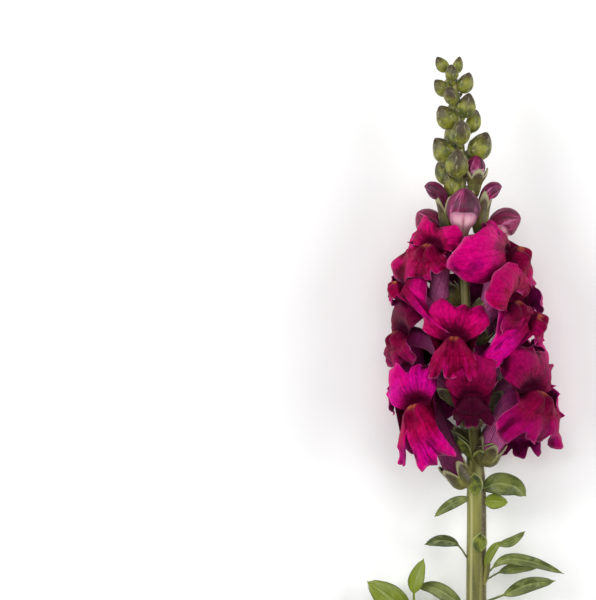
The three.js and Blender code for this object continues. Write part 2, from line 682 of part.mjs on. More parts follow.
/** A narrow pointed blade that leaves the stem at an azimuth and leans away from it. */
function bract([y, azimuth, length, width, lean]) {
  const from = stemCentre(y);
  const away = outward(azimuth);
  const along = vector(0, 1, 0);
  const side = along.clone().cross(away).normalize();
  const start = from.addScaledVector(away, stemRadius(y) - 1);
  const pointAt = (p, q) => {
    const bend = radians(lean + 12 * q);
    const half = (width / 2) * (0.35 + 0.65 * Math.sin(Math.PI * (0.16 + 0.8 * q)));
    return start
      .clone()
      .addScaledVector(away, length * q * Math.sin(bend) + 0.6 * Math.abs(p))
      .addScaledVector(along, length * q * Math.cos(bend))
      .addScaledVector(side, half * p);
  };
  return blade(pointAt, 2, 3, LEAF_THICKNESS);
}

// A green bud's outline from foot to tip: share of the length from its middle and share of the half
// width.
const BUD_OUTLINE = [[-0.5, 0.4], [-0.1, 1], [0.32, 0.62]];

/**
 * A green bud wrapped in its calyx: a pointed egg with four shallow ridges, on a short stalk from the
 * stem.
 */
function greenBud([x, y, above, width, length, leanRight, leanUp]) {
  const middle = beside([x, y, above]);
  const right = radians(leanRight);
  const lift = radians(leanUp);
  const axis = vector(Math.sin(right) * Math.cos(lift), Math.cos(right) * Math.cos(lift), Math.sin(lift));
  const axes = frameAlong(axis, vector(0, 0, 1));
  const foot = middle.clone().addScaledVector(axis, -0.5 * length);
  const rings = BUD_OUTLINE.map(([along, size]) =>
    ringAround(middle.clone().addScaledVector(axis, along * length), axes, BUD_SIDES, (k) =>
      (width / 2) * size * (k % 2 ? 0.92 : 1.02),
    ),
  );
  const start = rootOf(Math.min(foot.y - 2, 300), foot);
  return ringSolid(rings, { start, end: middle.addScaledVector(axis, 0.5 * length) });
}

/** The main stem with its plain cut end. */
function mainStem(grow = 0) {
  const top = STEM_LINE[STEM_LINE.length - 1][1];
  const rings = [];
  for (let step = 0; step <= STEM_RINGS; step += 1) {
    const y = (top * step) / STEM_RINGS;
    const centre = stemCentre(y);
    const radius = stemRadius(y) + grow;
    const ring = [];
    for (let k = 0; k < STEM_SIDES; k += 1) {
      const turn = (2 * Math.PI * k) / STEM_SIDES;
      ring.push(vector(centre.x + radius * Math.cos(turn), y, centre.z - radius * Math.sin(turn)));
    }
    rings.push(ring);
  }
  return ringSolid(rings);
}

/** A lanceolate leaf on its midrib, folded up along it and narrowed to a short stalk. */
function leaf({ rib, half, fold }, grow = 0) {
  const curve = new THREE.CatmullRomCurve3(rib.map((point) => vector(...point)));
  const pointAt = (p, q) => {
    const axes = frameAlong(curve.getTangent(q), vector(0, 0, 1));
    const wide = half * (0.13 + 0.87 * Math.sin(Math.PI * Math.min(q, 0.985) ** 0.85) ** 0.85);
    return curve
      .getPoint(q)
      .addScaledVector(axes.side, wide * p * Math.cos(radians(fold)))
      .addScaledVector(axes.up, wide * Math.abs(p) * Math.sin(radians(fold)));
  };
  return blade(pointAt, half > 4 ? 4 : 2, 6, LEAF_THICKNESS, grow);
}

/** A side shoot's bare stalk. */
function shoot(points, grow = 0) {
  const curve = new THREE.CatmullRomCurve3(points.map((point) => vector(...point)));
  const rings = [0, 0.25, 0.5, 0.75, 1].map((t) => {
    const radius = grow + THREE.MathUtils.lerp(...SHOOT_RADIUS, t);
    return ringAround(curve.getPoint(t), frameAlong(curve.getTangent(t), vector(0, 0, 1)), 6, () => radius);
  });
  return ringSolid(rings);
}

// ---------------------------------------------------------------- assembly

const stemPlant = new THREE.Group();
const flowerHead = new THREE.Group();
const foliage = new THREE.Group();
stemPlant.add(flowerHead, foliage);

/** A bloom's solid, and the slightly larger one that its neighbours are cut back to. */
function bloom(name, look, make, sizes) {
  const body = make(sizes);
  return { name, look, body, grown: make(sizes, CLEARANCE).add(body) };
}

const twoDigits = (k) => String(k + 1).padStart(2, "0");
const blooms = [
  ...FLORETS.map((one, k) => bloom("Corolla_" + twoDigits(k), k % 2 ? "crimson" : "magenta", corolla, one)),
  ...CLOSED_FLORETS.map((bud) => bloom(bud.name, "mauve", closedCorolla, bud)),
];

// Each bloom gives way to the ones before it, and the green parts give way to all of them.
blooms.forEach((one, k) => {
  one.final = blooms
    .slice(0, k)
    .filter((earlier) => boxesMeet(one.body, earlier.grown))
    .reduce((body, earlier) => body.subtract(earlier.grown), one.body);
});

const greenPieces = [
  mainStem(),
  ...BRACTS.map(bract),
  ...SHOOTS.map((points) => shoot(points)),
  ...GREEN_BUDS.map(greenBud),
];
for (const floret of FLORETS) {
  const { leaving, foot } = floretFoot(floret);
  const length = corollaPath(floret, floretFrame(floret)).getLength();
  const radiusAt = (h) => floret.size * tubeRadius(FLORET, THREE.MathUtils.clamp(h / length, 0.12, 0.3));
  greenPieces.push(calyx(floret.root, foot, leaving, radiusAt, floret.calyxDepth ?? CALYX_DEPTH));
}
for (const bud of CLOSED_FLORETS) {
  const foot = beside(bud.foot);
  const leaving = beside(bud.tip).sub(foot).normalize();
  const radiusAt = (h) => bud.radius * closedOutline(h / foot.distanceTo(beside(bud.tip)));
  greenPieces.push(calyx(bud.root, foot, leaving, radiusAt, bud.cup));
}
let green = wasm.Manifold.union(greenPieces);
for (const one of blooms) {
  one.final = mainBody(one.final.subtract(mainStem(CLEARANCE)));
  if (boxesMeet(green, one.grown)) green = green.subtract(one.grown);
}
green = mainBody(green.add(mainStem()).trimByPlane([0, 0, 1], 0));

stemPlant.add(meshOf("Green_stem", green, "green"));
for (const one of blooms) flowerHead.add(meshOf(one.name, one.final, one.look));

// Each leaf stops just short of the stem and the shoots, and gives way to the blooms and to the leaves
// before it.
const stalks = [mainStem(CLEARANCE), ...SHOOTS.map((points) => shoot(points, CLEARANCE))];
const inTheWay = [green, ...stalks, ...blooms.map((one) => one.grown)];
for (const one of LEAVES) {
  const whole = leaf(one);
  const body = inTheWay
    .filter((other) => boxesMeet(whole, other))
    .reduce((left, other) => left.subtract(other), whole);
  foliage.add(meshOf(one.name, mainBody(body), "leaf"));
  inTheWay.push(leaf(one, CLEARANCE).add(whole));
}

// The origin is under the middle of the whole, on the surface it lies on.
const box = new THREE.Box3().setFromObject(stemPlant);
const middle = box.getCenter(vector(0, 0, 0));
stemPlant.position.set(-middle.x, -middle.y, -box.min.z);

export default stemPlant;
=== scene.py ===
import functools
import math

import bpy
import numpy as np
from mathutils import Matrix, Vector


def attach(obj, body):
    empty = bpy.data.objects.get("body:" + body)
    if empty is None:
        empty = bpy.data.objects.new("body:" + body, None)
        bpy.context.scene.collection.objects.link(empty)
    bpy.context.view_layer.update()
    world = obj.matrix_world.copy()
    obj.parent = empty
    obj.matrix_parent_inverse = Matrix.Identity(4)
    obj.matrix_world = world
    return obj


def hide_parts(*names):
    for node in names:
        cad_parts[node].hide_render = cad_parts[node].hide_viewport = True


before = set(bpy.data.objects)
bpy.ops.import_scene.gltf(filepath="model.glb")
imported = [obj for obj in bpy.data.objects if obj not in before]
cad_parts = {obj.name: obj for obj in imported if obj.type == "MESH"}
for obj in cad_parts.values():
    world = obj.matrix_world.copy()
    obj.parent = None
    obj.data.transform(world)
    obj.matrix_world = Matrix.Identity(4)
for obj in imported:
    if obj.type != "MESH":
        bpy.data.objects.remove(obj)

bl_info = {
    "name": "Snapdragon stem",
    "version": (1, 0, 0),
    "blender": (4, 5, 0),
    "location": "View3D > Sidebar > Snapdragon",
    "description": "Builds a cut snapdragon stem with velvety florets around a packed part",
    "category": "Add Mesh",
}

# ---------------------------------------------------------------- the plant's dimensions, millimetres

MM = 0.001

# Centre line of the stem and its radius: x, y, z, radius.
STEM_LINE = np.array([
    [0.8, 0, 4.1, 4.5],
    [0.4, 40, 7.2, 4.3],
    [0, 90, 12, 4.0],
    [0, 130, 16.2, 3.7],
    [-0.8, 150, 18.4, 3.0],
    [-2.4, 170, 20.8, 2.6],
    [-5, 210, 25.2, 2.1],
    [-6.2, 240, 28.2, 1.9],
    [-6.6, 264, 30.2, 1.7],
    [-8.4, 290, 32.2, 1.3],
    [-10.4, 303, 33.2, 0.8],
])

# One floret at full size, measured in its own frame, where an open floret gives no other value. Angles are
# in degrees. A turn of 0 runs forward out of the mouth, 90 straight away from its middle and 180 backward.
# Pairs are for the left and right half, in glow and shade for the upper and lower lip, and in a turn for the
# rim and the margin. Threes are for the left, middle and right lobe of the lower lip.
FLORET = {
    "size": 1.0,
    "lean": (0, 0.25, 0),
    "mouth_half_width": 5.2,
    "mouth_half_height": 4.4,
    "tube_base_radius": 2.6,
    "sac_radius": 3.8,
    "upper_length": 16.5,
    "fans": (66, 66),
    "wings": (1.0, 1.0),
    "wing_turns": (70, 70),
    "wing_swings": (0, 0),
    "gathers": (0, 0),
    "upper_turn": (35, 148),
    "cleft": 0.26,
    "lower_length": 20,
    "lower_fan": 62,
    "lobes": (1.0, 0.92, 1.0),
    "lobe_turns": (0, 0, 0),
    "lobe_swings": (0, 0),
    "notches": (0.26, 0.26),
    "lower_turn": (4, 116),
    "ruffle": 1.1,
    "crumple": 1.2,
    "glow": (0.3, 0.3),
    "shade": (0.0, 0.0),
    "tube_shade": 0.0,
    # how far the painted shade of crowding and of the stem's nearness is lifted off the floret
    "bare": 0.0,
    "calyx_depth": 7.5,
}

# Open florets: mouth as x, y and height above the stem's line, the y where the pedicel leaves the stem,
# azimuth round the stem (0 is up, 90 right), rise towards the tip, roll about the floret's own axis.
FLORETS = [
    dict(mouth=[-17.6, 229.8, 12], root=206, azimuth=-42, rise=6, roll=-8, size=0.97, lean=(-1.3, -0.3, 0.2),
         upper_length=9.0, fans=(95, 92), wings=(1.45, 1.25), wing_turns=(40, 80), wing_swings=(0, 25),
         lower_length=14.5, lower_fan=84, lobes=(1.55, 0.9, 0.8), glow=(0.1, 0.0), shade=(0, 0.25),
         calyx_depth=5, bare=0.9),
    dict(mouth=[12.2, 227.6, 6], root=201, azimuth=72, rise=12, roll=29, size=1.1, lean=(0.7, -0.1, 0),
         fans=(100, 60), wings=(2.3, 1.0), wing_turns=(62, 60), gathers=(0.16, 0), upper_length=12.5,
         upper_turn=(80, 150), lower_length=15, glow=(0.45, 0.3), shade=(0, 0.35), crumple=1.9,
         calyx_depth=5),
    dict(mouth=[12.4, 207.5, 13], root=190, azimuth=54, rise=0, roll=12, size=1.02,
         upper_length=17, upper_turn=(15, 140), fans=(92, 60), wings=(1.3, 1.0), wing_turns=(50, 70),
         lower_length=12.5, lower_fan=70, glow=(0.0, 0.4), shade=(0.26, 0.5), crumple=1.7),
    dict(mouth=[-30.6, 214.4, 7], root=186, azimuth=-84, rise=24, roll=-24, size=0.86,
         fans=(60, 98), wings=(1.0, 3.0), wing_turns=(60, 8), gathers=(0, 1.0),
         upper_length=11.5, upper_turn=(122, 155), lower_length=7, glow=(0.5, 0.3), crumple=1.8),
    dict(mouth=[-28.6, 195.5, 3], root=178, azimuth=-66, rise=0, roll=4, size=0.95, lower_length=16,
         glow=(0.0, 0.35), shade=(0.75, 0.5)),
    dict(mouth=[-9.6, 193.0, 23], root=172, azimuth=-6, rise=4, roll=-2,
         upper_length=14.5, fans=(70, 60), wings=(1.2, 1.1), lower_fan=32, lower_length=17, glow=(0.15, 0.0),
         shade=(0, 0.25), tube_shade=0.5),
    dict(mouth=[-23.0, 166.5, 18], root=131, azimuth=-28, rise=-4, roll=16, size=1.08,
         upper_length=16.5, fans=(54, 42), wings=(1.0, 0.9), lower_length=27, lower_fan=22,
         lobes=(0.98, 1.0, 1.0), lobe_turns=(10, 0, 20), lobe_swings=(-30, 0), notches=(0.78, 0.12),
         glow=(1.0, 0.95), tube_shade=0.8, calyx_depth=10, lean=(-0.35, 0.3, 0)),
    dict(mouth=[-3.2, 170.0, 27], root=157, azimuth=2, rise=-8, roll=2, size=0.98,
         upper_length=18, fans=(44, 44), upper_turn=(50, 140), wing_turns=(90, 90), cleft=0.08,
         lower_length=10, lower_fan=40, glow=(0.1, 0.0), shade=(0.45, 0.97), tube_shade=0.95),
    dict(mouth=[21.2, 201.2, 11], root=168, azimuth=68, rise=10, roll=40, size=1.03,
         fans=(112, 60), wings=(2.35, 0.7), wing_turns=(12, 60), gathers=(0.75, 0), upper_length=12.5,
         upper_turn=(118, 150), lower_length=7, glow=(1.0, 0.4), shade=(0, 0.3), crumple=1.7),
    dict(mouth=[20.2, 171.5, 13], root=139, azimuth=44, rise=-2, roll=-8, size=1.14,
         fans=(72, 54), wings=(1.08, 0.85), lobes=(1.15, 0.92, 1.1), ruffle=1.8, glow=(0.2, 0.6),
         shade=(0.5, 0.45), calyx_depth=9, bare=0.5),
    dict(mouth=[14.5, 216.0, -9], root=196, azimuth=122, rise=8, roll=-6, size=0.92, glow=(0.6, 0.6)),
    dict(mouth=[-22.5, 222.0, -8], root=203, azimuth=-128, rise=8, roll=5, size=0.93),
    dict(mouth=[-4.5, 208.0, -15], root=190, azimuth=178, rise=6, roll=0, size=0.86, shade=(0.3, 0.3)),
    dict(mouth=[21.0, 178.0, -13], root=162, azimuth=128, rise=4, roll=6, size=1.02, glow=(0.6, 0.6)),
    dict(mouth=[-24.0, 180.0, -14], root=166, azimuth=-124, rise=2, roll=-4, size=1.02),
    dict(mouth=[-2.5, 182.0, -16.2], root=170, azimuth=176, rise=4, roll=8, size=0.86, shade=(0.3, 0.3)),
    dict(mouth=[15.0, 160.0, -9], root=147, azimuth=140, rise=0, roll=0, size=0.85, glow=(0.6, 0.6)),
    dict(mouth=[-17.0, 160.0, -9], root=145, azimuth=-138, rise=0, roll=4, size=0.88),
]

# Closed florets: foot and tip as x, y and height above the stem's line, the widest radius, the y where
# the pedicel leaves the stem, how deep the calyx holds it, the azimuth that its lip faces, how many
# degrees it bends over that way, how far it has turned crimson, and whether it has a long neck.
CLOSED_FLORETS = {
    "Closed_floret_front": ([-6.8, 231.0, 9], [-5.6, 254.2, 15], 6.6, 224, 4, 0, 14, 0.1, False),
    "Closed_floret_left": ([-12.5, 230.5, -3], [-24.2, 245.0, -3], 5.8, 223, 5, -60, 28, 0.8, False),
    "Closed_floret_right": ([1.0, 232.6, -3], [17.4, 242.6, -3], 6.2, 225, 5, 70, 46, 0.8, False),
    "Opening_bud_left": ([-11.8, 238.0, 2], [-21.4, 255.4, 3.5], 3.5, 235, 13.5, -90, 74, 0.2, True),
    "Opening_bud_right": ([0.6, 239.0, 2], [9.6, 255.2, 3], 3.4, 236, 14.5, 90, 78, 0.1, True),
    "Opening_bud_upper": ([-1.6, 254.0, 3], [-0.4, 267.6, 5], 4.0, 248, 8.5, 30, 10, 0.0, False),
    "Opening_bud_back": ([-5.5, 242.0, -7], [-3.5, 256.0, -12], 4.4, 236, 7, 180, 10, 0.1, False),
}

# Green buds: middle as x, y, height above the stem's line, then width, length, lean to the right and up.
GREEN_BUDS = [
    [-14.4, 304.0, 0.0, 4.8, 7.0, -34, 0],
    [-8.0, 303.8, -1.5, 4.0, 6.8, 12, -8],
    [-10.6, 300.6, 2.6, 5.0, 7.0, -6, 22],
    [-5.0, 296.6, 0.5, 6.2, 8.6, 22, 4],
    [-14.4, 294.8, 0.0, 5.8, 8.0, -42, 4],
    [-10.9, 291.6, 4.0, 5.8, 8.2, -24, 30],
    [-4.6, 287.6, 2.4, 7.0, 10.2, 12, 16],
    [-12.8, 283.0, 2.0, 8.0, 10.4, -30, 16],
    [-1.6, 281.4, -3.0, 5.6, 9.4, 14, -18],
    [-7.0, 276.8, 5.6, 7.2, 10.6, 4, 26],
    [1.0, 271.4, 0.6, 8.8, 11.8, 26, 4],
    [-13.8, 269.6, 0.8, 8.6, 11.6, -34, 6],
    [-8.4, 264.4, 6.8, 8.6, 11.8, 2, 24],
    [-13.6, 260.6, -4.4, 6.4, 9.8, -26, -20],
    [-10.4, 256.2, 1.0, 6.2, 10.4, -16, 6],
    [-10.4, 296.6, -4.2, 5.4, 7.6, -10, -30],
    [-8.6, 287.0, -5.0, 6.2, 8.8, 6, -30],
    [-9.6, 275.6, -5.6, 7.2, 10.0, -12, -30],
    [-4.2, 265.4, -6.0, 7.8, 11.0, 16, -28],
]

# Bracts: foot y, azimuth round the stem, length, width, lean away from the stem.
BRACTS = [
    [153, -62, 14, 5.0, 52],
    [150.4, 34, 10, 5.6, 66],
    [145.6, -34, 14, 4.8, 34],
    [146.4, 10, 8, 5.0, 52],
    [152, 66, 10, 4.6, 48],
    [131.2, -8, 11, 7.0, 16],
    [108.6, 10, 9, 6.6, 14],
    [162, 150, 9, 4.0, 55],
    [158, -150, 9, 4.0, 55],
]

# Leaves: widest half width, fold along the midrib in degrees, how yellow-green they are, the stalk's share
# of the length, and the midrib's points.
LEAVES = {
    "right_top": (4.7, 16, 0.1, 0, [[2.5, 134, 19], [8, 136.2, 21], [15, 135, 21.5], [19.8, 131.2, 20]]),
    "right_small": (3.3, 18, 0.9, 0, [[2.8, 129, 17.5], [7.5, 129, 17.5], [12.6, 128.6, 16.8]]),
    "left_top": (2.2, 14, 0.1, 0, [[-2.6, 130.4, 17], [-8, 129, 18], [-13, 126.2, 18], [-17, 122.8, 17]]),
    "left_middle": (2.5, 18, 0, 0.3, [[-3, 105, 14], [-8, 111.6, 16], [-14.5, 113.2, 17], [-21, 111.6, 16]]),
    "right_curled": (2.1, 26, 0.2, 0.3,
        [[5, 107.6, 16.5], [9.5, 111.5, 19], [14, 113, 19.5], [19.6, 117, 17]]),
    "right_shoot": (1.9, 24, 0.6, 0.1,
        [[3.2, 100, 14.5], [4.6, 106, 17], [7.2, 110.6, 18.5], [10.8, 113, 19]]),
    "right_long": (2.5, 16, 0.1, 0.16, [[3.4, 99, 14], [11, 105.4, 17], [22, 104.6, 17], [35.4, 99.6, 13.5]]),
    "right_under": (2.2, 12, 0.1, 0.3,
        [[4, 97, 10.5], [10, 100.4, 11.5], [17, 102, 11.5], [24.4, 101.6, 10]]),
    "right_low": (3.2, 18, 0.1, 0.3, [[4, 88.5, 12.5], [12, 91.6, 15], [21, 95.4, 15.5], [32, 96.8, 13]]),
    "left_dark": (3.2, 14, 0, 0.1, [[-4.4, 86, 12.5], [-10, 90, 14], [-17, 94, 14], [-24, 94.4, 12]]),
    "left_upright": (3.4, 20, 0.9, 0.34,
        [[-25, 87, 12.5], [-25.2, 92, 14.5], [-24.2, 98, 15.5], [-21.2, 106, 15]]),
    "left_large": (6, 16, 0.7, 0.1, [[-25, 79.5, 10], [-31, 86, 12.5], [-37, 91.5, 12.5], [-44, 96.4, 10]]),
    "low_right": (5, 18, 0.1, 0.12, [[4.4, 52, 9], [14, 62, 13], [24, 72, 13.5], [34, 78, 10]]),
    "low_left": (5, 18, 0.2, 0.12, [[-4, 40, 8], [-14, 49, 12], [-25, 57, 12], [-36, 61, 8.5]]),
    "low_front": (4.2, 20, 0.3, 0.12, [[1.6, 58, 13.5], [0, 68, 20], [-3, 78, 23], [-7, 88, 22]]),
}

# Side shoots as their stalks' points, and their radius at the foot and at the end.
SHOOTS = [
    [[-1, 62, 9.5], [-12, 68, 10], [-21, 76, 10.5], [-25.4, 86, 12]],
    [[0, 92, 12.5], [3.4, 98, 14.4], [4.6, 104, 16]],
]
SHOOT_RADIUS = (1.7, 1.1)

# A calyx: the number of its sepals, and how far its cup begins before the corolla's foot.
SEPALS, CUP_BASE = 5, 2.6
BLADE_THICKNESS = 0.7
HAIR_RADIUS = 0.04

# The middle of the camera's field on the plant, in mm, and then in metres: half the surface's side, how far
# it lies below the lowest petal, and the height of the middle of the flowers.
VIEW_CENTRE = np.array([-71.9, 210])
FLOOR_HALF, FLOOR_GAP, FLOWER_HEIGHT = 2.5, 0.0003, 0.03

# ---------------------------------------------------------------- small helpers


def unit(vectors):
    """Vectors scaled to length one."""
    return vectors / np.maximum(np.linalg.norm(vectors, axis=-1, keepdims=True), 1e-9)


def bell(x, middle, width):
    """A smooth bump of height one."""
    return np.exp(-(((x - middle) / width) ** 2))


def ease(low, high, x):
    """0 below low, 1 above high, and an S-shaped curve between."""
    t = np.clip((x - low) / (high - low), 0, 1)
    return t * t * (3 - 2 * t)


def smooth_curve(points, t):
    """Places at the shares t (0 to 1) of a centripetal Catmull-Rom curve through the points."""
    points = np.asarray(points, float)
    ends = [2 * points[:1] - points[1:2], 2 * points[-1:] - points[-2:-1]]
    knots = np.concatenate([ends[0], points, ends[1]])
    gap = np.sqrt(np.linalg.norm(np.diff(knots, axis=0), axis=1))
    scaled = np.asarray(t, float) * (len(points) - 1)
    piece = np.clip(scaled.astype(int), 0, len(points) - 2)
    w = (scaled - piece)[:, None]
    x0, x1, x2, x3 = (knots[piece + k] for k in range(4))
    d0, d1, d2 = (gap[piece + k][:, None] for k in range(3))
    leave = ((x1 - x0) / d0 - (x2 - x0) / (d0 + d1) + (x2 - x1) / d1) * d1
    arrive = ((x2 - x1) / d1 - (x3 - x1) / (d1 + d2) + (x3 - x2) / d2) * d1
    a = 2 * x1 - 2 * x2 + leave + arrive
    b = -3 * x1 + 3 * x2 - 2 * leave - arrive
    return ((a * w + b) * w + leave) * w + x1


STEM_FINE = smooth_curve(STEM_LINE, np.linspace(0, 1, 4001))


def stem_at(y):
    """The stem's centre (x, y, z) and radius at one or more heights y."""
    x, z, radius = (np.interp(y, STEM_FINE[:, 1], STEM_FINE[:, k]) for k in (0, 2, 3))
    return np.stack([x, y, z], -1), radius


def beside(place):
    """A point given as x, y and height above the stem's line."""
    return np.array([place[0], place[1], stem_at(place[1])[0][2] + place[2]], float)


def outward(azimuth, rise=0):
    """Unit vector away from the stem: azimuth 0 is up, 90 is to the right."""
    turn, lift = math.radians(azimuth), math.radians(rise)
    return np.array([math.sin(turn) * math.cos(lift), math.sin(lift), math.cos(turn) * math.cos(lift)])


def frame_along(forward, up):
    """Side, up and forward: orthonormal, with up as near as it can be to the one given."""
    forward = unit(np.asarray(forward, float))
    side = unit(np.cross(up, forward))
    return side, np.cross(forward, side), forward


def bezier(ends, t):
    """Places and directions on a cubic Bezier curve with the four control points given."""
    a, b, c, d = ends
    t = t[:, None]
    s = 1 - t
    places = s**3 * a + 3 * s * s * t * b + 3 * s * t * t * c + t**3 * d
    ways = 3 * s * s * (b - a) + 6 * s * t * (c - b) + 3 * t * t * (d - c)
    return places, unit(ways)


def around(count):
    """Evenly spaced turns round a ring, in radians."""
    return np.linspace(0, 2 * math.pi, count, endpoint=False)


def ringed(centre, side, up, radius, turn, flat=1.0):
    """Rings round a line: centre + side x radius x cos(turn) + up x radius x flat x sin(turn)."""
    return centre + side * (radius * np.cos(turn))[..., None] + up * (radius * flat * np.sin(turn))[..., None]


def corners(points, quads, fans):
    """The three corners of every triangle, with the quads cut in two."""
    triangles = np.concatenate([quads[:, :3], quads[:, [0, 2, 3]], fans])
    return (points[triangles[:, k]] for k in range(3))


def ring_surface(rings, values=None, start=None, end=None):
    """
    A closed surface from rings of equally many points (rows x columns x 3), with a fan to a pole at each
    end. values are numbers for each point, by name. It is turned so that its faces look outwards.
    """
    rows, columns = rings.shape[:2]
    start = rings[0].mean(0) if start is None else start
    end = rings[-1].mean(0) if end is None else end
    points = np.concatenate([rings.reshape(-1, 3), [start, end]])
    here = np.arange(columns)
    after = np.roll(here, -1)
    first = (np.arange(rows - 1) * columns)[:, None]
    quads = np.stack([first + here, first + after, first + columns + after, first + columns + here], -1)
    last, pole = (rows - 1) * columns, np.full(columns, rows * columns)
    fans = [np.stack([after, here, pole], -1), np.stack([last + here, last + after, pole + 1], -1)]
    quads, fans = quads.reshape(-1, 4), np.concatenate(fans)
    a, b, c = corners(points, quads, fans)
    if np.einsum("ij,ij->i", a, np.cross(b, c)).sum() < 0:
        quads, fans = quads[:, ::-1], fans[:, ::-1]
    made = {}
    for name, grid in (values or {}).items():
        grid = np.broadcast_to(grid, (rows, columns))
        made[name] = np.concatenate([grid.ravel(), [grid[0].mean(), grid[-1].mean()]])
    return {"points": points, "faces": [quads, fans], "values": made}


def joined(surfaces):
    """Several surfaces as one, with 0 for a value that one of them lacks."""
    points, faces, first = [], [], 0
    for one in surfaces:
        points.append(one["points"])
        faces += [block + first for block in one["faces"]]
        first += len(one["points"])
    names = sorted({name for one in surfaces for name in one["values"]})
    given = lambda one, name: one["values"].get(name, np.zeros(len(one["points"])))
    values = {name: np.concatenate([given(one, name) for one in surfaces]) for name in names}
    return {"points": np.concatenate(points), "faces": faces, "values": values}


def plant_shift():
    """
    Where the plant's own zero, beside the middle of the cut end, lies in the shared frame, in mm. The cut
    end is what lies within a tenth of a millimetre of the stem's lowest point.
    """
    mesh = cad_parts["Green_stem"].data
    flat = np.empty(len(mesh.vertices) * 3, np.float32)
    mesh.vertices.foreach_get("co", flat)
    places = flat.reshape(-1, 3) / MM
    cut = places[places[:, 1] < places[:, 1].min() + 0.1]
    return np.array([(cut[:, 0].min() + cut[:, 0].max()) / 2 - STEM_LINE[0, 0], places[:, 1].min(), 0])


SHIFT = plant_shift()

# Crowding of the petals, painted on as shade: width of a cell, margin round the florets, how far a point
# looks out, and the shares of full cells at which its painted shadow starts and is full.
CELL, MARGIN, LOOK_OUT, CROWDED = 2.0, 16, 8, (0.12, 0.3)


@functools.lru_cache
def crowding():
    """
    How closely the petals stand, on a grid of cells: a cell that holds part of a petal counts 1, and the
    counts are averaged twice over boxes of five cells. Returns the grid's lowest corner and the grid.
    """
    points = np.concatenate([one["points"] for one in open_corollas()])
    low = points.min(0) - MARGIN
    shape = np.ceil((points.max(0) + MARGIN - low) / CELL).astype(int)
    grid = np.zeros(shape)
    grid[tuple(((points - low) / CELL).astype(int).T)] = 1
    for axis in (0, 1, 2) * 2:
        grid = sum(np.roll(grid, k, axis) for k in range(-2, 3)) / 5
    return low, grid


def crowded(points, normals):
    """0 where a point looks out into the open, 1 where petals stand close in front of it."""
    low, grid = crowding()
    looking = (points + normals * LOOK_OUT - low) / CELL
    last = np.array(grid.shape) - 1
    inside = np.all((looking >= 0) & (looking < last), axis=1)
    cells = np.clip(looking.astype(int), 0, last)
    return ease(*CROWDED, grid[tuple(cells.T)] * inside)


def put(name, data, place=(0, 0, 0)):
    """An object of this data in the scene, at a place."""
    made = bpy.data.objects.new(name, data)
    made.location = place
    bpy.context.scene.collection.objects.link(made)
    return made


def make_piece(name, surface, material, nodes=("Green_stem",)):
    """
    An object of a surface, smooth shaded, that rides on the frame and stands for CAD nodes. What lies below
    the ground is pressed flat on it. Each point carries the surface's values and how crowded it stands, which
    the materials paint on as shade.
    """
    mesh = bpy.data.meshes.new(name)
    places = surface["points"] + SHIFT
    places[:, 2] = np.maximum(places[:, 2], 0)
    faces = [face for block in surface["faces"] for face in block.tolist()]
    mesh.from_pydata((places * MM).tolist(), [], faces)
    mesh.polygons.foreach_set("use_smooth", np.ones(len(mesh.polygons), bool))
    mesh.materials.append(material)
    mesh.update()
    normals = np.empty(len(mesh.vertices) * 3, np.float32)
    mesh.vertex_normals.foreach_get("vector", normals)
    values = surface["values"]
    # how crowded a point stands, which the materials paint on as shade
    shadow = crowded(surface["points"], normals.reshape(-1, 3)) * (1 - values.get("bare", 0))
    for key, numbers in (values | {"crowd": shadow}).items():
        mesh.attributes.new(key, "FLOAT", "POINT").data.foreach_set("value", numbers.astype(np.float32))
    piece = put(name, mesh)
    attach(piece, "root")
    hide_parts(*nodes)


# ---------------------------------------------------------------- materials


def srgb(code):
    """A colour written as an sRGB hex code, as linear red, green, blue and alpha."""
    parts = [int(code[k : k + 2], 16) / 255 for k in (1, 3, 5)]
    return [c / 12.92 if c <= 0.04045 else ((c + 0.055) / 1.055) ** 2.4 for c in parts] + [1.0]


def fill(tree, node, inputs):
    """Fills a node's inputs: a name reads a number from the mesh, a socket is linked, the rest is set."""
    for key, value in inputs.items():
        if isinstance(value, str):
            value = add_node(tree, "Attribute", output="Fac", attribute_name=value)
        if isinstance(value, bpy.types.NodeSocket):
            tree.links.new(value, node.inputs[key])
        else:
            node.inputs[key].default_value = value


def add_node(tree, kind, inputs=None, output=0, **settings):
    """Adds a shader node with its inputs and settings and returns one of its outputs."""
    node = tree.nodes.new("ShaderNode" + kind)
    for key, value in settings.items():
        setattr(node, key, value)
    fill(tree, node, inputs or {})
    return node.outputs[output]


def amount(tree, given):
    """
    How strongly something shows. (value, factor) is their product. (value, low, high, at_low, at_high) goes
    smoothly from at_low to at_high, or from 0 to 1, while the value goes from low to high. Anything else
    stands as it is.
    """
    if not isinstance(given, tuple):
        return given
    parts = [amount(tree, part) for part in given]
    if len(parts) == 2:
        return add_node(tree, "Math", dict(enumerate(parts)), operation="MULTIPLY")
    inputs = dict(zip(("Value", "From Min", "From Max", "To Min", "To Max"), parts))
    return add_node(tree, "MapRange", inputs, interpolation_type="SMOOTHSTEP")


def total(tree, *given):
    """The sum of several amounts."""
    first, *others = [amount(tree, part) for part in given]
    for other in others:
        first = add_node(tree, "Math", {0: first, 1: other}, operation="ADD")
    return first


def coats(tree, colour, *layers):
    """
    A colour with others laid over it in turn, each given as how strongly it covers and its own colour. A
    colour is a hex code, linear numbers, or what comes out of other coats.
    """
    mixed = lambda given: srgb(given) if isinstance(given, str) else given
    colour = mixed(colour)
    for cover, over in layers:
        inputs = {0: amount(tree, cover), 6: colour, 7: mixed(over)}
        colour = add_node(tree, "Mix", inputs, output=2, data_type="RGBA")
    return colour


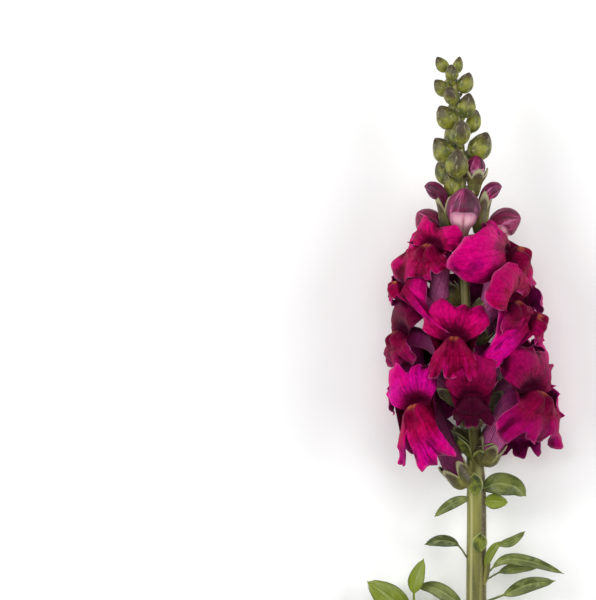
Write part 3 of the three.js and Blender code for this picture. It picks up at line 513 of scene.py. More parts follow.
def speckle(tree, size_mm, detail=3, roughness=0.5, stretch=1.0):
    """Noise from 0 to 1 whose spots are size_mm across and stretch times as long along the stem."""
    where = add_node(tree, "TexCoord", output="Object")
    where = add_node(tree, "VectorMath", {0: where, 1: (1, 1 / stretch, 1)}, operation="MULTIPLY")
    inputs = {"Vector": where, "Scale": 1 / (size_mm * MM), "Detail": detail, "Roughness": roughness}
    return add_node(tree, "TexNoise", inputs)


def streaks(tree, count, stretch):
    """Noise drawn out along a petal, about count streaks across it, that change slowly over the plant."""
    place = [("across", count), ("along", stretch), (speckle(tree, 25), 4.0)]
    place = add_node(tree, "CombineXYZ", {k: amount(tree, part) for k, part in enumerate(place)})
    return add_node(tree, "TexNoise", {"Vector": place, "Scale": 1.0, "Detail": 3.0})


def veins(tree, count, wander):
    """
    Thin lines along a petal, 1 on a vein and 0 between, with finer ones that come in towards the margin. A
    line is 1 - |sin(count x across + wander x noise)|, to the fourth power.
    """

    def lines(count, wander, size_mm):
        line = total(tree, ("across", count), (speckle(tree, size_mm), wander))
        for operation in ("SINE", "ABSOLUTE"):
            line = add_node(tree, "Math", {0: line}, operation=operation)
        line = add_node(tree, "Math", {0: 1.0, 1: line}, operation="SUBTRACT", use_clamp=True)
        return add_node(tree, "Math", {0: line, 1: 4.0}, operation="POWER")

    branches = amount(tree, (lines(count * 2.6, wander * 2, 2.0), ("along", 0.25, 0.7, 0, 0.7)))
    return add_node(tree, "Math", {0: lines(count, wander, 4.0), 1: branches}, operation="MAXIMUM")


def new_material(name):
    """An empty material and its nodes."""
    material = bpy.data.materials.new(name)
    material.use_nodes = True
    return material, material.node_tree


def dressed(material, colour, roughness, height=None, depth_mm=0.0, sockets={}):
    """The material with its colour, roughness and relief, which is depth_mm deep, and other sockets set."""
    tree = material.node_tree
    inputs = {"Base Color": colour, "Roughness": amount(tree, roughness)} | sockets
    if height:
        bump = {"Height": height, "Distance": depth_mm * MM, "Strength": 1.0}
        inputs["Normal"] = add_node(tree, "Bump", bump)
    fill(tree, tree.nodes["Principled BSDF"], inputs)
    return material


def petal_material(dark, light, glow):
    """
    Velvety petal: a crimson to magenta face that gathers a painted glow where it is thin, painted highlights
    on its ridges and painted shade in its folds and towards the throat, mauve veined backs and tubes, near
    black purple painted shade where petals stand close and near the stem, a thin pale rim that is a painted
    backlit highlight, and an orange spot on the palate.
    """
    material, tree = new_material("Crimson velvet petal")
    cloud, mottle, velvet = speckle(tree, 7), speckle(tree, 1.6, roughness=0.6), speckle(tree, 0.5, 2)
    streak, lines = streaks(tree, 9.0, 1.6), veins(tree, 30.0, 3.0)
    face = coats(
        tree, dark,
        ((cloud, 0.32, 0.68), light),
        ("glow", glow),
        ((streak, 0.54, 0.3, 0, 0.7), "#54001E"),
        ((streak, 0.54, 0.74, 0, 0.5), "#E4007C"),
        # painted highlights on the ridges of the face and painted shade in its folds
        (("fold", -0.1, -0.8, 0, 0.6), "#D80074"),
        (("fold", 0.08, 0.8, 0, 0.7), "#4A021E"),
        # painted shade towards the throat
        (("along", 0.55, 0.05, 0, 0.75), "#4C041E"),
    )
    back = coats(
        tree, "#8A1058",
        ((cloud, 0.32, 0.68), "#B03484"),
        (("along", 0, -0.7), "#D472AC"),
        ((streaks(tree, 12.0, 1.2), 0.5, 0.32, 0, 0.6), "#7C1454"),
        ((veins(tree, 26.0, 3.0), 0.9), "#660A40"),
        (("glow", 0.75), "#D40094"),
    )
    # painted shade: near black purple where petals stand close in front and near the stem's line, less on the
    # faces
    painted_close_shade = add_node(tree, "Math", {0: "crowd", 1: "deep"}, operation="MAXIMUM")
    colour = coats(
        tree, back,
        ("front", face),
        ((lines, 0.3), "#50002A"),
        ((mottle, 0.35, 0.75, 0, 0.28), "#4A0024"),
        ((mottle, 0.55, 0.2, 0, 0.15), "#E82898"),
        ("shade", "#34041C"),
        ((painted_close_shade, ("front", 0, 1, 0.74, 0.5)), "#24051C"),
        # thin pale rim: a painted backlit highlight
        ("rim", "#E070AC"),
        (("spot", 0.75), "#E08840"),
    )
    # pile of the velvet, drawn coarse enough to show, over the veins and small creases
    height = total(tree, (lines, -0.35), (velvet, 0.2), (speckle(tree, 3), 1.2))
    return dressed(material, colour, (velvet, 0.2, 0.8, 0.5, 0.72), height, 0.45, {
        "Specular IOR Level": 0.2, "Specular Tint": srgb("#FF4C9C"),
        "Sheen Weight": 0.05, "Sheen Roughness": 0.4, "Sheen Tint": srgb("#FF2080"),
    })


def closed_petal_material():
    """Dark purple hood, painted darker on one side as shade, over a pale pink grooved lip, on a mauve tube,
    smoother than an open petal.
    """
    material, tree = new_material("Purple closed petal")
    cloud, streak, velvet = speckle(tree, 4), streaks(tree, 12.0, 2.0), speckle(tree, 0.25, 2)
    hood = coats(
        tree, "#8C1250",
        ((cloud, 0.35, 0.65), "#5A0C3C"),
        # painted shade on one side of the hood
        (("side", -0.1, 0.35, 0, 0.85), "#30081F"),
        ("ripe", "#8C1248"),
        ((streak, 0.54, 0.34, 0, 0.8), "#30041C"),
        ((streak, 0.52, 0.7, 0, 0.7), "#D070A4"),
    )
    colour = coats(
        tree, "#8A8048",
        (("along", 0, 0.5), "#B45A88"),
        ("pale", "#F0C4CC"),
        ("groove", "#B03060"),
        ("hood", hood),
        ((veins(tree, 22.0, 2.0), ("pale", 0, 0.9, 0.45, 0.12)), "#4A0A2E"),
        ("lip", "#F0C8D8"),
    )
    return dressed(material, colour, (velvet, 0.2, 0.8, 0.42, 0.62), velvet, 0.06, {
        "Specular IOR Level": 0.35, "Sheen Weight": 0.1, "Sheen Tint": srgb("#FF50B0"),
    })


def green_material(name, low, high, flush, edge, mottling, shaded=0.7, stretch=1.0):
    """Green flesh: two greens in clouds, a purple-brown flush where the light falls, pale thin edges, and
    dark painted shade where petals stand close in front.
    """
    material, tree = new_material(name)
    cloud, patches = speckle(tree, 3.4, stretch=stretch), speckle(tree, 2.8, 2, stretch=stretch)
    fine = speckle(tree, 0.35, 2)
    colour = coats(
        tree, low,
        ((cloud, 0.34, 0.66), high),
        ((patches, 0.48, 0.72, 0, mottling), flush),
        ("flush", flush),
        ((speckle(tree, 0.6, 2), 0.18), "#3C4418"),
        ("edge", edge),
        # painted shade where petals stand close in front
        (("crowd", shaded), "#2A1C18"),
    )
    return dressed(material, colour, (fine, 0.2, 0.8, 0.42, 0.62), fine, 0.05, {
        "Sheen Weight": 0.15, "Sheen Roughness": 0.35, "Sheen Tint": srgb("#F4F0B8"),
        "Subsurface Weight": 0.08, "Subsurface Radius": (0.4, 0.8, 0.2), "Subsurface Scale": 1.0 * MM,
    })


def hair_material():
    """Pale cream hairs, lighter at their tips, that let light through."""
    material, tree = new_material("Pale fine hair")
    colour = coats(tree, "#B8B07C", ("tip", "#F4ECD0"), ((speckle(tree, 4), 0.4), "#C89CA8"))
    sockets = {"Subsurface Weight": 0.3, "Subsurface Scale": 0.5 * MM}
    return dressed(material, colour, 0.55, sockets=sockets)


def leaf_material():
    """Grey-green upper face, paler underneath, with a light midrib and side veins."""
    material, tree = new_material("Soft green leaf")
    fine = speckle(tree, 0.4, 2)
    top = coats(
        tree, "#404C1E",
        ((speckle(tree, 7), 0.36, 0.64), "#747C38"),
        ((speckle(tree, 3), 0.5, 0.7, 0, 0.5), "#9CA468"),
        ("sunny", "#809000"),
        (("grain", 0.55, 1, 0, 0.4), "#2C3A16"),
        ("edge", "#2E3A1A"),
        ("rib", "#A0AC68"),
    )
    colour = coats(
        tree, "#8CA064", ("rib", "#C0CC90"), ("front", top), ((speckle(tree, 0.5, 2), 0.15), "#30401C"),
    )
    return dressed(material, colour, (fine, 0.2, 0.8, 0.38, 0.58), fine, 0.08, {
        "Subsurface Weight": 0.08, "Subsurface Radius": (0.4, 0.9, 0.2), "Subsurface Scale": 1.0 * MM,
    })


def floor_material():
    """Matt white paper."""
    material, tree = new_material("Matt white paper")
    grain = speckle(tree, 1.2, 4)
    return dressed(material, coats(tree, "#FBFBFB", (grain, "#FFFFFF")), 0.9, grain, 0.02)


# ---------------------------------------------------------------- open florets

# Columns of the two lips, rows of their blades, the row where the lower one folds, rows of throat and tube.
UPPER_COUNT, LOWER_COUNT = 44, 62
BLADE_ROWS, FOLD_ROW, THROAT_ROWS, TUBE_ROWS = 27, 11, 4, 14
PEDICEL_LENGTH = 5.5


def near_stem(places, far=20, close=8):
    """1 deep between the florets, close to the stem's centre line, and 0 far from it or well above it: how
    strongly a petal is painted in shade there.
    """
    away = places - stem_at(places[..., 1])[0]
    return ease(far, close, np.hypot(away[..., 0], away[..., 2])) * ease(6, -3, away[..., 2])


def floret_frame(sizes):
    """The floret's mouth, its side, up and forward directions."""
    forward = outward(sizes["azimuth"], sizes["rise"])
    side, up, _ = frame_along(forward, [0, 1, 0])
    roll = math.radians(sizes["roll"])
    turned = side * math.cos(roll) + up * math.sin(roll)
    up = up * math.cos(roll) - side * math.sin(roll)
    return beside(sizes["mouth"]), turned, up, forward


def floret_path(sizes):
    """The tube's centre line as four control points, from the calyx to just behind the mouth."""
    mouth, side, up, forward = floret_frame(sizes)
    on_stem, radius = stem_at(sizes["root"])
    leaving = unit(unit(mouth - on_stem) + sizes["lean"])
    foot = on_stem + leaving * (radius + PEDICEL_LENGTH)
    throat = mouth - forward * sizes["size"]
    reach = np.linalg.norm(throat - foot) * 0.38
    return np.array([foot, foot + leaving * reach, throat - forward * reach, throat]), leaving


def tube_radius(sizes, t):
    """A narrow foot, a sac just above it and a wide throat: foot + (throat - foot) t^1.4 + the sac's bump."""
    foot, throat = sizes["tube_base_radius"], sizes["mouth_half_width"] * 0.96
    return foot + (throat - foot) * t**1.4 + (sizes["sac_radius"] - foot) * bell(t, 0.22, 0.2)


def lip_blade(rim, heading_at, length, turn_at, outline, q):
    """
    A lip's middle surface. Each column leaves its rim point and runs along its heading in the mouth's
    plane while it turns from forward to backward: steps along cos(turn) forward and sin(turn) along the
    heading are added up, times the column's length. A heading is an angle from straight up, and both it
    and the turn change along the column. The margin is cut out of this surface by its outline, a share of
    the length for each column, without changing what lies inside it.
    """
    share = q * (1 - (1 - outline) * q**1.5)
    turn, heading = turn_at(share), heading_at(share)
    steps = np.stack([np.sin(turn) * np.sin(heading), np.sin(turn) * np.cos(heading), np.cos(turn)], -1)
    middle = (steps[1:] + steps[:-1]) / 2 * np.diff(share, axis=0)[..., None]
    run = np.concatenate([np.zeros_like(steps[:1]), np.cumsum(middle, 0)])
    return rim + run * length[None, :, None]


def pick(p, left, middle, right, spread=0.36):
    """A number for each column: its left, middle or right value, blended where they meet."""
    to_left, to_right = ease(-spread + 0.16, -spread - 0.16, p), ease(spread - 0.16, spread + 0.16, p)
    return left * to_left + right * to_right + middle * (1 - to_left - to_right)


def corolla_blades(sizes):
    """
    Both lips on one grid of rows (rim to margin) and columns (round the mouth from the right over the
    top). Returns the grid, p across each lip and which columns are upper.
    """
    q = np.linspace(0, 1, BLADE_ROWS)[:, None]
    p_up = np.sin(np.linspace(math.pi / 2, -math.pi / 2, UPPER_COUNT))
    p_low = np.sin(np.linspace(-math.pi / 2, math.pi / 2, LOWER_COUNT))
    across, along = sizes["mouth_half_width"], sizes["mouth_half_height"]
    seed = sizes["root"]

    by_side = lambda pair: pair[0] + (pair[1] - pair[0]) * ease(-0.25, 0.25, p_up)
    rim = np.radians(80) * p_up
    gathered = by_side(sizes["gathers"])
    spread = (1 - gathered) * p_up + gathered * np.sign(p_up) * ease(0.02, 0.2, np.abs(p_up))
    fan = by_side(sizes["fans"]) * spread
    swing = by_side(sizes["wing_swings"]) * ease(0, 0.5, np.abs(p_up))
    heading_at = lambda share: np.radians(fan + swing * ease(0.15, 0.9, share))
    lobes = 1 - sizes["cleft"] * bell(p_up, 0, 0.09) - 0.1 * bell(np.abs(p_up), 0.8, 0.2)
    jagged = 0.06 * np.sin(7 * p_up + seed) + 0.03 * np.sin(19 * p_up + 2 * seed)
    outline = 0.05 + 0.95 * (1 - np.abs(p_up) ** 7) ** 0.6 * (lobes + jagged)
    length = sizes["upper_length"] * (1 + (by_side(sizes["wings"]) - 1) * ease(0, 0.55, np.abs(p_up)))
    low, high = sizes["upper_turn"]
    wing = by_side(sizes["wing_turns"]) * np.abs(p_up) ** 1.8
    turn_at = lambda share: np.radians(np.minimum(low + (high - low) * share**1.1 + wing * share**0.7, 205))
    start = np.stack([across * np.sin(rim), along * np.cos(rim), 0 * rim], -1)
    upper = lip_blade(start, heading_at, length, turn_at, outline, q)

    rim = np.radians(84) * p_low
    left, right = sizes["notches"]
    notch = left * bell(p_low, -0.36, 0.07) + right * bell(p_low, 0.36, 0.07)
    lobes = pick(p_low, *sizes["lobes"]) - notch
    jagged = 0.03 * np.sin(11 * p_low + seed) + 0.012 * np.sin(23 * p_low + 2 * seed)
    outline = 0.05 + 0.95 * (1 - np.abs(p_low) ** 8) ** 0.6 * (lobes + jagged)
    length = np.full_like(p_low, sizes["lower_length"])
    low, high = sizes["lower_turn"]
    droop = pick(p_low, *sizes["lobe_turns"])
    at_side = lambda share: p_low**2 * (46 * (1 - share) - 10 * share)
    folded = lambda share: (high - low) * ease(0.16, 0.7, share) + droop * ease(0.4, 1, share)
    turn_at = lambda share: np.radians(low + folded(share) + at_side(share))
    left, right = sizes["lobe_swings"]
    swing = pick(p_low, left, 0, right)
    heading_at = lambda share: np.radians(180 - sizes["lower_fan"] * p_low - swing * ease(0.3, 0.9, share))
    start = np.stack([across * np.sin(rim), -along * np.cos(rim), 0 * rim], -1)
    lower = lip_blade(start, heading_at, length, turn_at, outline, q)

    grid = np.concatenate([upper, lower], 1)
    p = np.concatenate([p_up, p_low])
    is_upper = np.arange(len(p)) < UPPER_COUNT
    return waved(grid, sizes, p, q, is_upper), p, is_upper


def backward(grid):
    """Unit vectors square to a grid of rows and closed columns, towards the backs of the lips."""
    across = np.roll(grid, -1, 1) - np.roll(grid, 1, 1)
    made = unit(np.cross(across, np.gradient(grid, axis=0)))
    return unit(made + 0.5 * (np.roll(made, 1, 1) + np.roll(made, -1, 1)))


def crumpled(places, seed, wavelength):
    """A smooth uneven field from -1 to 1: waves in a few fixed directions drawn from the seed."""
    drawn = np.random.default_rng(seed)
    waves = 0
    for _ in range(6):
        way = unit(drawn.normal(size=3)) * 2 * math.pi / (wavelength * drawn.uniform(0.7, 1.6))
        waves = waves + np.sin(places @ way + drawn.uniform(0, 6.28))
    return np.tanh(waves / 2)


def waved(grid, sizes, p, q, is_upper):
    """
    Ruffles that grow towards the margin, lobes whose edges roll back a little, and soft crumples, all as
    steps along the blade's backward direction.
    """
    free = np.clip((q - 0.3) / 0.7, 0, 1)
    seed, phase = sizes["root"], sizes["root"] * 1.7
    slow = np.sin(2.2 * math.pi * p + phase)
    fast = np.sin(5.3 * math.pi * p + 2.3 * phase) + 0.7 * np.sin(8.9 * math.pi * p + 3.1 * phase)
    wave = sizes["ruffle"] * (free**1.6 * slow + 0.6 * free**5 * fast)
    wave = wave + sizes["crumple"] * free * crumpled(grid, seed, wavelength=13.0)
    wave = wave + 0.3 * sizes["crumple"] * free**0.5 * crumpled(grid, seed + 500, wavelength=5.0)
    lobe_middle = np.where(is_upper, 0.5, np.where(np.abs(p) < 0.36, 0.0, 0.68))
    lobe_half = np.where(is_upper, 0.45, 0.34)
    roll = 1.5 * free**2 * ((np.abs(p) - lobe_middle) / lobe_half) ** 2
    calm = ease(1.0, 0.86, np.abs(p))
    return grid - backward(grid) * ((wave - roll * 0.6) * calm)[..., None]


def hollow(grid, back):
    """
    How deep each point lies in a fold of the lips' faces, or below 0 on a ridge: how far it is behind the
    middle of the points three columns to its left and right.
    """
    across = (np.roll(grid, 3, 1) + np.roll(grid, -3, 1)) / 2 - grid
    return -(across * back).sum(-1)


def palate(p, r, reach):
    """
    The palate's face from the fold of the lower lip (r = 0) over its two humps to the crest in the throat
    (r = 1): the humps stand on each side of a groove along the middle. reach scales how far it stands out.
    """
    humps = bell(np.abs(p), 0.46, 0.3) - 0.9 * bell(p, 0, 0.16)
    swell = humps * np.sin(math.pi * np.minimum(r * 0.85 + 0.08, 1))
    across = 6.8 + (4.4 - 6.8) * r
    up = -6.4 + 8.8 * r**0.8 + 1.6 * p**2 * (1 - 2 * r) + 0.5 * swell
    forward = 8.6 + 2.0 * np.sin(math.pi * r) - 3.4 * r - 3.0 * p**2 + 1.3 * swell
    return np.stack([across * p, up, forward * reach], -1)


def corolla(sizes):
    """
    A floret as one closed surface. Its rings run along the tube, over the backs of the lips to their
    margin, back over their faces and the palate, and into the throat.
    """
    grid, p, is_upper = corolla_blades(sizes)
    back = backward(grid)
    q = np.linspace(0, 1, BLADE_ROWS)[:, None]
    # half the petal's thickness, thinner towards the margin
    half = (0.32 - 0.2 * q)[..., None]
    behind, face = grid + back * half, grid - back * half
    edge = grid[-1] + unit(grid[-1] - grid[-2]) * 0.1

    # from the face of the blade over the rim into the throat; the lower columns go over the palate
    inner = np.linspace(0.25, 1, THROAT_ROWS)[:, None, None]
    rim = face[:1]
    deep = rim * [[[1, 1, 0]]] * (1 - 0.4 * inner) - [0, 0, 1.2] * inner
    over_rim = np.concatenate([face[FOLD_ROW - 1 :: -1], deep])
    rows = len(over_rim)
    r = np.linspace(0, 1, FOLD_ROW)[1:, None]
    hump = palate(p, r, np.clip(sizes["lower_length"] / 18, 0.65, 1))
    fold = face[FOLD_ROW]
    join = ease(0, 0.4, r)[..., None]
    hump = fold * (1 - join) + hump * join
    crest = hump[-1:]
    sink = np.linspace(1, 0, rows - len(hump) + 1)[1:, None, None] ** 0.8
    bottom = np.array([0, 1.6, 0.2])
    over_palate = np.concatenate([hump, bottom + (crest - bottom) * (0.55 + 0.45 * sink)])
    weight = (np.where(is_upper, 0, 1) * ease(1.0, 0.8, np.abs(p)))[None, :, None]
    throat = over_rim * (1 - weight) + over_palate * weight

    mouth, side, up, forward = floret_frame(sizes)
    axes = np.stack([side, up, forward]) * sizes["size"]
    lips = np.concatenate([behind, edge[None], face[:FOLD_ROW - 1:-1], throat]) @ axes + mouth

    path, _ = floret_path(sizes)
    t = np.linspace(0, 1, TUBE_ROWS + 1)[:-1]
    places, ways = bezier(path, t)
    across = unit(np.cross(up, ways))
    top = np.cross(ways, across)
    turn = np.arctan2(grid[0, :, 1] / sizes["mouth_half_height"], grid[0, :, 0] / sizes["mouth_half_width"])
    radius = sizes["size"] * (tube_radius(sizes, t) + 0.15)[:, None]
    furrow = 1 - 0.05 * bell(np.cos(turn), 0, 0.25)[None, :] * ease(0.25, 0.6, t)[:, None]
    sac = 0.9 * bell(t, 0.16, 0.12)[:, None] * np.clip(-np.sin(turn), 0, 1)[None, :]
    tube = ringed(places[:, None], across[:, None], top[:, None], radius * furrow + sac, turn, 0.92)
    rings = np.concatenate([tube, lips])

    def stack(*parts):
        """One value for every ring, from those of the tube, back, edge, face and throat."""
        counts = (TUBE_ROWS, BLADE_ROWS, 1, BLADE_ROWS - FOLD_ROW, rows)
        return np.concatenate([np.broadcast_to(part, (n, len(p))) for part, n in zip(parts, counts)])

    down = q[::-1][: BLADE_ROWS - FOLD_ROW]
    inward = np.linspace(1, 0, rows)[:, None]
    lower_part = weight[..., 0]
    crest_at = 1 - 0.84 * (FOLD_ROW - 1) / rows
    spots = 0.8 * bell(inward, crest_at, 0.07) * bell(np.abs(p), 0.2, 0.16) * lower_part
    palate_part = lower_part * ease(0, 0.3, 1 - inward)
    along_throat = q[FOLD_ROW] * inward
    glow = np.where(is_upper, *sizes["glow"])
    lit = lambda share: np.where(is_upper, ease(0.12, 0.5, share), ease(q[FOLD_ROW], 0.85, share))
    far_out = ease(0.65, 1.0, np.abs(p)) * ease(1.4, 2.0, np.where(p < 0, *sizes["wings"]))
    far_out = np.where(is_upper, far_out * (1 - np.where(p < 0, *sizes["gathers"])), 0)
    glow = glow * (1 - 0.8 * far_out)
    shade = np.clip(np.where(is_upper, *sizes["shade"]) + 0.35 * far_out, 0, 1)
    # bare lifts the painted shade off a floret's tube and backs
    tube_shade, bare = sizes["tube_shade"], stack(sizes["bare"], 0.5 * sizes["bare"], 0, 0, 0)
    # how deep a point lies in a fold of the face or on a ridge: painted as shade in folds and as highlight on
    # ridges; the palate gets a little painted shade
    fold_shade_ridge_light = np.clip(hollow(grid, back) / 0.5, -1, 1) * ease(0.0, 0.15, q)
    values = {
        "front": stack(0, 0, 0.5, 1, 1),
        "along": stack(t[:, None] - 1, q, 1, down, along_throat * (1 - palate_part) + 0.3 * palate_part),
        "across": stack(p, p, p, p, p),
        # thin pale rim at the margins, painted as a backlit highlight
        "rim": stack(0, 0.25 * ease(0.93, 1, q), 0.5, 0.28 * ease(0.95, 1, down), 0),
        "spot": stack(0, 0, 0, 0, spots * (1 - shade)),
        "glow": stack(0, glow * ease(0, 0.5, q), glow, glow * lit(down), glow * lit(along_throat)),
        "fold": stack(0, -fold_shade_ridge_light, -fold_shade_ridge_light[-1], fold_shade_ridge_light[::-1][: BLADE_ROWS - FOLD_ROW], 0.25 * palate_part),
        "shade": stack(tube_shade, 0.5 * shade + 0.3 * tube_shade, 0.6 * shade, shade, shade),
        "bare": bare,
        # painted shade between the florets, near the stem's line
        "deep": near_stem(rings) * (1 - bare),
    }
    return ring_surface(rings, values, end=mouth + axes[1] * 1.6 + axes[2] * 0.2)


@functools.lru_cache
def open_corollas(ruffle=FLORET["ruffle"]):
    """All open florets' surfaces."""
    return [corolla(FLORET | {"ruffle": ruffle} | one) for one in FLORETS]


# ---------------------------------------------------------------- closed florets

# Shares of the widest radius along a closed floret, and along one whose hood sits on a long neck.
CLOSED_PROFILE = np.array([
    [0, 0.34, 0.5], [0.12, 0.36, 0.6], [0.24, 0.5, 0.66], [0.36, 0.78, 0.7], [0.48, 0.95, 0.78],
    [0.6, 1.0, 0.95], [0.72, 0.95, 1.0], [0.83, 0.78, 0.92], [0.92, 0.52, 0.66], [0.97, 0.3, 0.4],
    [1.0, 0.04, 0.05],
])


def closed_radius(share, neck):
    """The profile at a share of the length, as a share of the widest radius."""
    return np.interp(share, CLOSED_PROFILE[:, 0], CLOSED_PROFILE[:, 2 if neck else 1])


def closed_axis(foot, tip, facing, bend):
    """The axis of a closed floret as four control points, its side, and the ways it leaves and arrives."""
    length = np.linalg.norm(tip - foot)
    side, up, forward = frame_along(tip - foot, outward(facing))
    lean = lambda degrees: forward * math.cos(math.radians(degrees)) + up * math.sin(math.radians(degrees))
    leave, arrive = lean(-bend / 3), lean(bend * 0.8)
    axis = np.array([foot, foot + leave * 0.5 * length, tip - arrive * 0.33 * length, tip])
    return axis, side, leave, arrive


def closed_floret(foot, tip, radius, facing, bend, ripe, neck):
    """
    A closed corolla on an axis that bends over towards its face. Its hood comes over from the stem's side
    and ends in an edge across the face; below the edge the lip shows two humps and a groove. Radii are the
    profile times the widest radius, plus the hood's thickness above its edge.
    """
    axis, side, _, arrive = closed_axis(beside(foot), beside(tip), facing, bend)
    t = np.linspace(0, 1, 60)[:, None]
    turn = around(56)
    profile = closed_radius(t, neck)
    for _ in range(2):
        profile[1:-1] = (profile[:-2] + 2 * profile[1:-1] + profile[2:]) / 4
    face = np.sin(turn)
    edge = 0.6 - 0.3 * ease(0.95, 0.1, face) - 0.26 * ease(0.1, -0.8, face)
    hood = ease(-0.012, 0.012, t - edge)
    away = np.abs(np.angle(np.exp(1j * (turn - math.pi / 2))))
    humps = bell(away, 0.5, 0.32) * bell(t, 0.4, 0.12) - 0.8 * bell(away, 0, 0.14) * bell(t, 0.38, 0.16)
    crest = 0.05 * bell(away, 0, 0.12) * ease(0.55, 0.75, t) * ease(1, 0.9, t)
    wide = radius * (profile * (0.93 + 0.1 * hood) + 0.12 * humps * (1 - hood) + crest * hood)
    places, ways = bezier(axis, t[:, 0])
    rings = ringed(places[:, None], side, np.cross(ways, side)[:, None], wide, turn, 0.9)
    values = {
        "hood": hood,
        "along": t,
        "across": (turn - math.pi) / math.pi,
        # which side of the hood is painted in shade
        "side": -np.cos(turn) * ease(-0.4, 0.3, face),
        "lip": 0.7 * bell(t - edge, 0.0, 0.014) * ease(-0.3, 0.3, face),
        "pale": 0.95 * bell(away, 0, 0.9) * bell(t, 0.42, 0.13),
        "groove": 0.8 * bell(away, 0, 0.1) * bell(t, 0.4, 0.14),
        "ripe": ripe,
    }
    return ring_surface(rings, values, end=rings[-1].mean(0) + arrive * 0.1)


# ---------------------------------------------------------------- green parts


def shoot(points):
    """A round stalk on a smooth curve through the points, evenly thinner from its foot to its end."""
    t = np.linspace(0, 1, 30)
    centre = smooth_curve(points, t)
    side, up, _ = frame_along(np.gradient(centre, axis=0), [0, 0, 1])
    radius = np.interp(t, (0, 1), SHOOT_RADIUS)[:, None]
    return ring_surface(ringed(centre[:, None], side[:, None], up[:, None], radius, around(20)))


def main_stem():
    """
    The stem on its centre line, slightly square with soft ridges, swollen where stalks leave it, flushed
    brown on its right side and near the flowers, with a thin pale line along its upper left side that is a
    pale ridge and a painted highlight, its top painted paler among the flowers as if lit, and a pale pith in
    its cut end. Its radius is that of the line x (1 + small waves round it) + a bump at each stalk.
    """
    y = np.concatenate([[0, 0], np.linspace(0.15, 302.5, 330)])
    centre, radius = stem_at(y)
    turn, y = around(48), y[:, None]
    radius = radius[:, None] * (1 + 0.025 * np.cos(4 * turn + 0.8) + 0.02 * np.cos(9 * turn + y * 0.02))
    for floret in FLORETS:
        radius = radius + 0.22 * bell(y, floret["root"], 2.2)
    # the first two rings are the pith and the rounded edge of the cut
    radius[0] *= 0.72
    radius[1] *= 0.985
    rings = ringed(centre[:, None], np.array([1, 0, 0]), np.array([0, 0, 1]), radius, turn)
    flush = 0.9 * bell(turn, 0.7, 0.3) * ease(230, 150, y)
    # painted highlight: a thin pale line along the upper left side, and the top painted paler among the
    # flowers
    edge = 0.7 * bell(turn, 2.2, 0.14) + 0.55 * ease(190, 215, y) * bell(turn, 1.4, 0.5)
    edge[0] = 0.8
    return ring_surface(rings, {"flush": np.clip(flush, 0, 0.8), "edge": edge}, start=rings[0].mean(0))


def root_of(y, target):
    """Where a stalk that reaches to a point starts: inside the stem, behind its middle."""
    centre, radius = stem_at(y)
    return centre - unit(target - centre) * 0.8 * radius


def calyx(root, foot, leaving, radius_at, depth, joined_part=0.4):
    """
    A pedicel that swells into a cup with five pointed sepals. Rings run up the pedicel and the outside of
    the cup to the sepals' margin and down inside. A column's height ends at its own point of the margin:
    notch + (depth - notch) x the sepal's outline. The cup keeps clear of the corolla, radius_at its height.
    """
    side, up, forward = frame_along(leaving, unit(np.array([0, 0.2, 1])))
    turn = around(14 * SEPALS)
    share = np.abs((turn * SEPALS / (2 * math.pi)) % 1 * 2 - 1)
    notch = depth * joined_part
    top = notch + (depth - notch) * (1 - share**1.7)
    inside = lambda h: radius_at(np.clip(h, 0, depth)) + 0.3 + 0.02 * np.clip(h, 0, depth)

    # the pedicel, then the base and the sepals, each from 0 to 1 in height
    start = root_of(root, foot)
    stalk = np.linspace(0, 1, 8)[:-1, None, None]
    pedicel = start + (foot - forward * CUP_BASE - start) * stalk
    height = np.linspace(0, 1, 16)[:, None]
    in_base = height < 0.45
    below = CUP_BASE * (ease(0, 0.45, height) - 1)
    h = np.where(in_base, below, top * np.clip((height - 0.45) / 0.55, 0, 1))
    belly = inside(h) + 0.75 - 0.4 * np.clip(h / depth, 0, 1)
    swell = np.where(in_base, np.sqrt(np.clip(1 - (1 - height / 0.45) ** 2, 0, 1)), 1)
    bulge = 0.35 * np.sqrt(np.clip(1 - share**2, 0, 1)) * ease(0.2, 0.6, height)
    bulge = bulge - 0.18 * bell(share, 1, 0.2) * ease(0.1, 0.5, height)
    down = np.linspace(1, 0, 9)[:, None]
    h_in = top * down
    rings = np.concatenate([
        ringed(pedicel, side, up, 1.25 - 0.15 * stalk[..., 0], turn),
        ringed(foot + forward * h[..., None], side, up, 1.1 + (belly - 1.1) * swell + bulge, turn),
        ringed(foot + forward * (h_in - 0.12)[..., None], side, up, inside(h_in) + 0.1 * down, turn),
    ])

    rise = np.concatenate([np.zeros((len(stalk), len(turn))), height + 0 * top, down + 0 * top])
    tips = np.clip(rise * top / depth, 0, 1)
    margin = np.abs(np.arange(len(rings)) - (len(stalk) + len(height) - 1)) <= 1
    values = {
        "flush": np.clip(0.9 * ease(0.35, 0.9, tips) + 0.25 * bell(rise, 0.35, 0.25), 0, 0.85),
        "edge": 0.5 * margin[:, None],
    }
    return ring_surface(rings, values)


def calyces():
    """The calyces of all open and closed florets as one surface."""
    parts = []
    for one in FLORETS:
        sizes = FLORET | one
        path, leaving = floret_path(sizes)
        places, _ = bezier(path, np.linspace(0, 1, 60))
        length = np.linalg.norm(np.diff(places, axis=0), axis=1).sum()
        radius_at = lambda h: sizes["size"] * tube_radius(sizes, np.clip(h / length, 0.12, 0.3))
        parts.append(calyx(sizes["root"], path[0], leaving, radius_at, sizes["calyx_depth"]))
    for foot, tip, radius, root, cup, facing, bend, _, neck in CLOSED_FLORETS.values():
        foot, tip = beside(foot), beside(tip)
        length = np.linalg.norm(tip - foot)
        leave = closed_axis(foot, tip, facing, bend)[2]
        radius_at = lambda h: radius * closed_radius(h / length, neck)
        parts.append(calyx(root, foot, leave, radius_at, cup + 0.8, 0.62))
    return joined(parts)


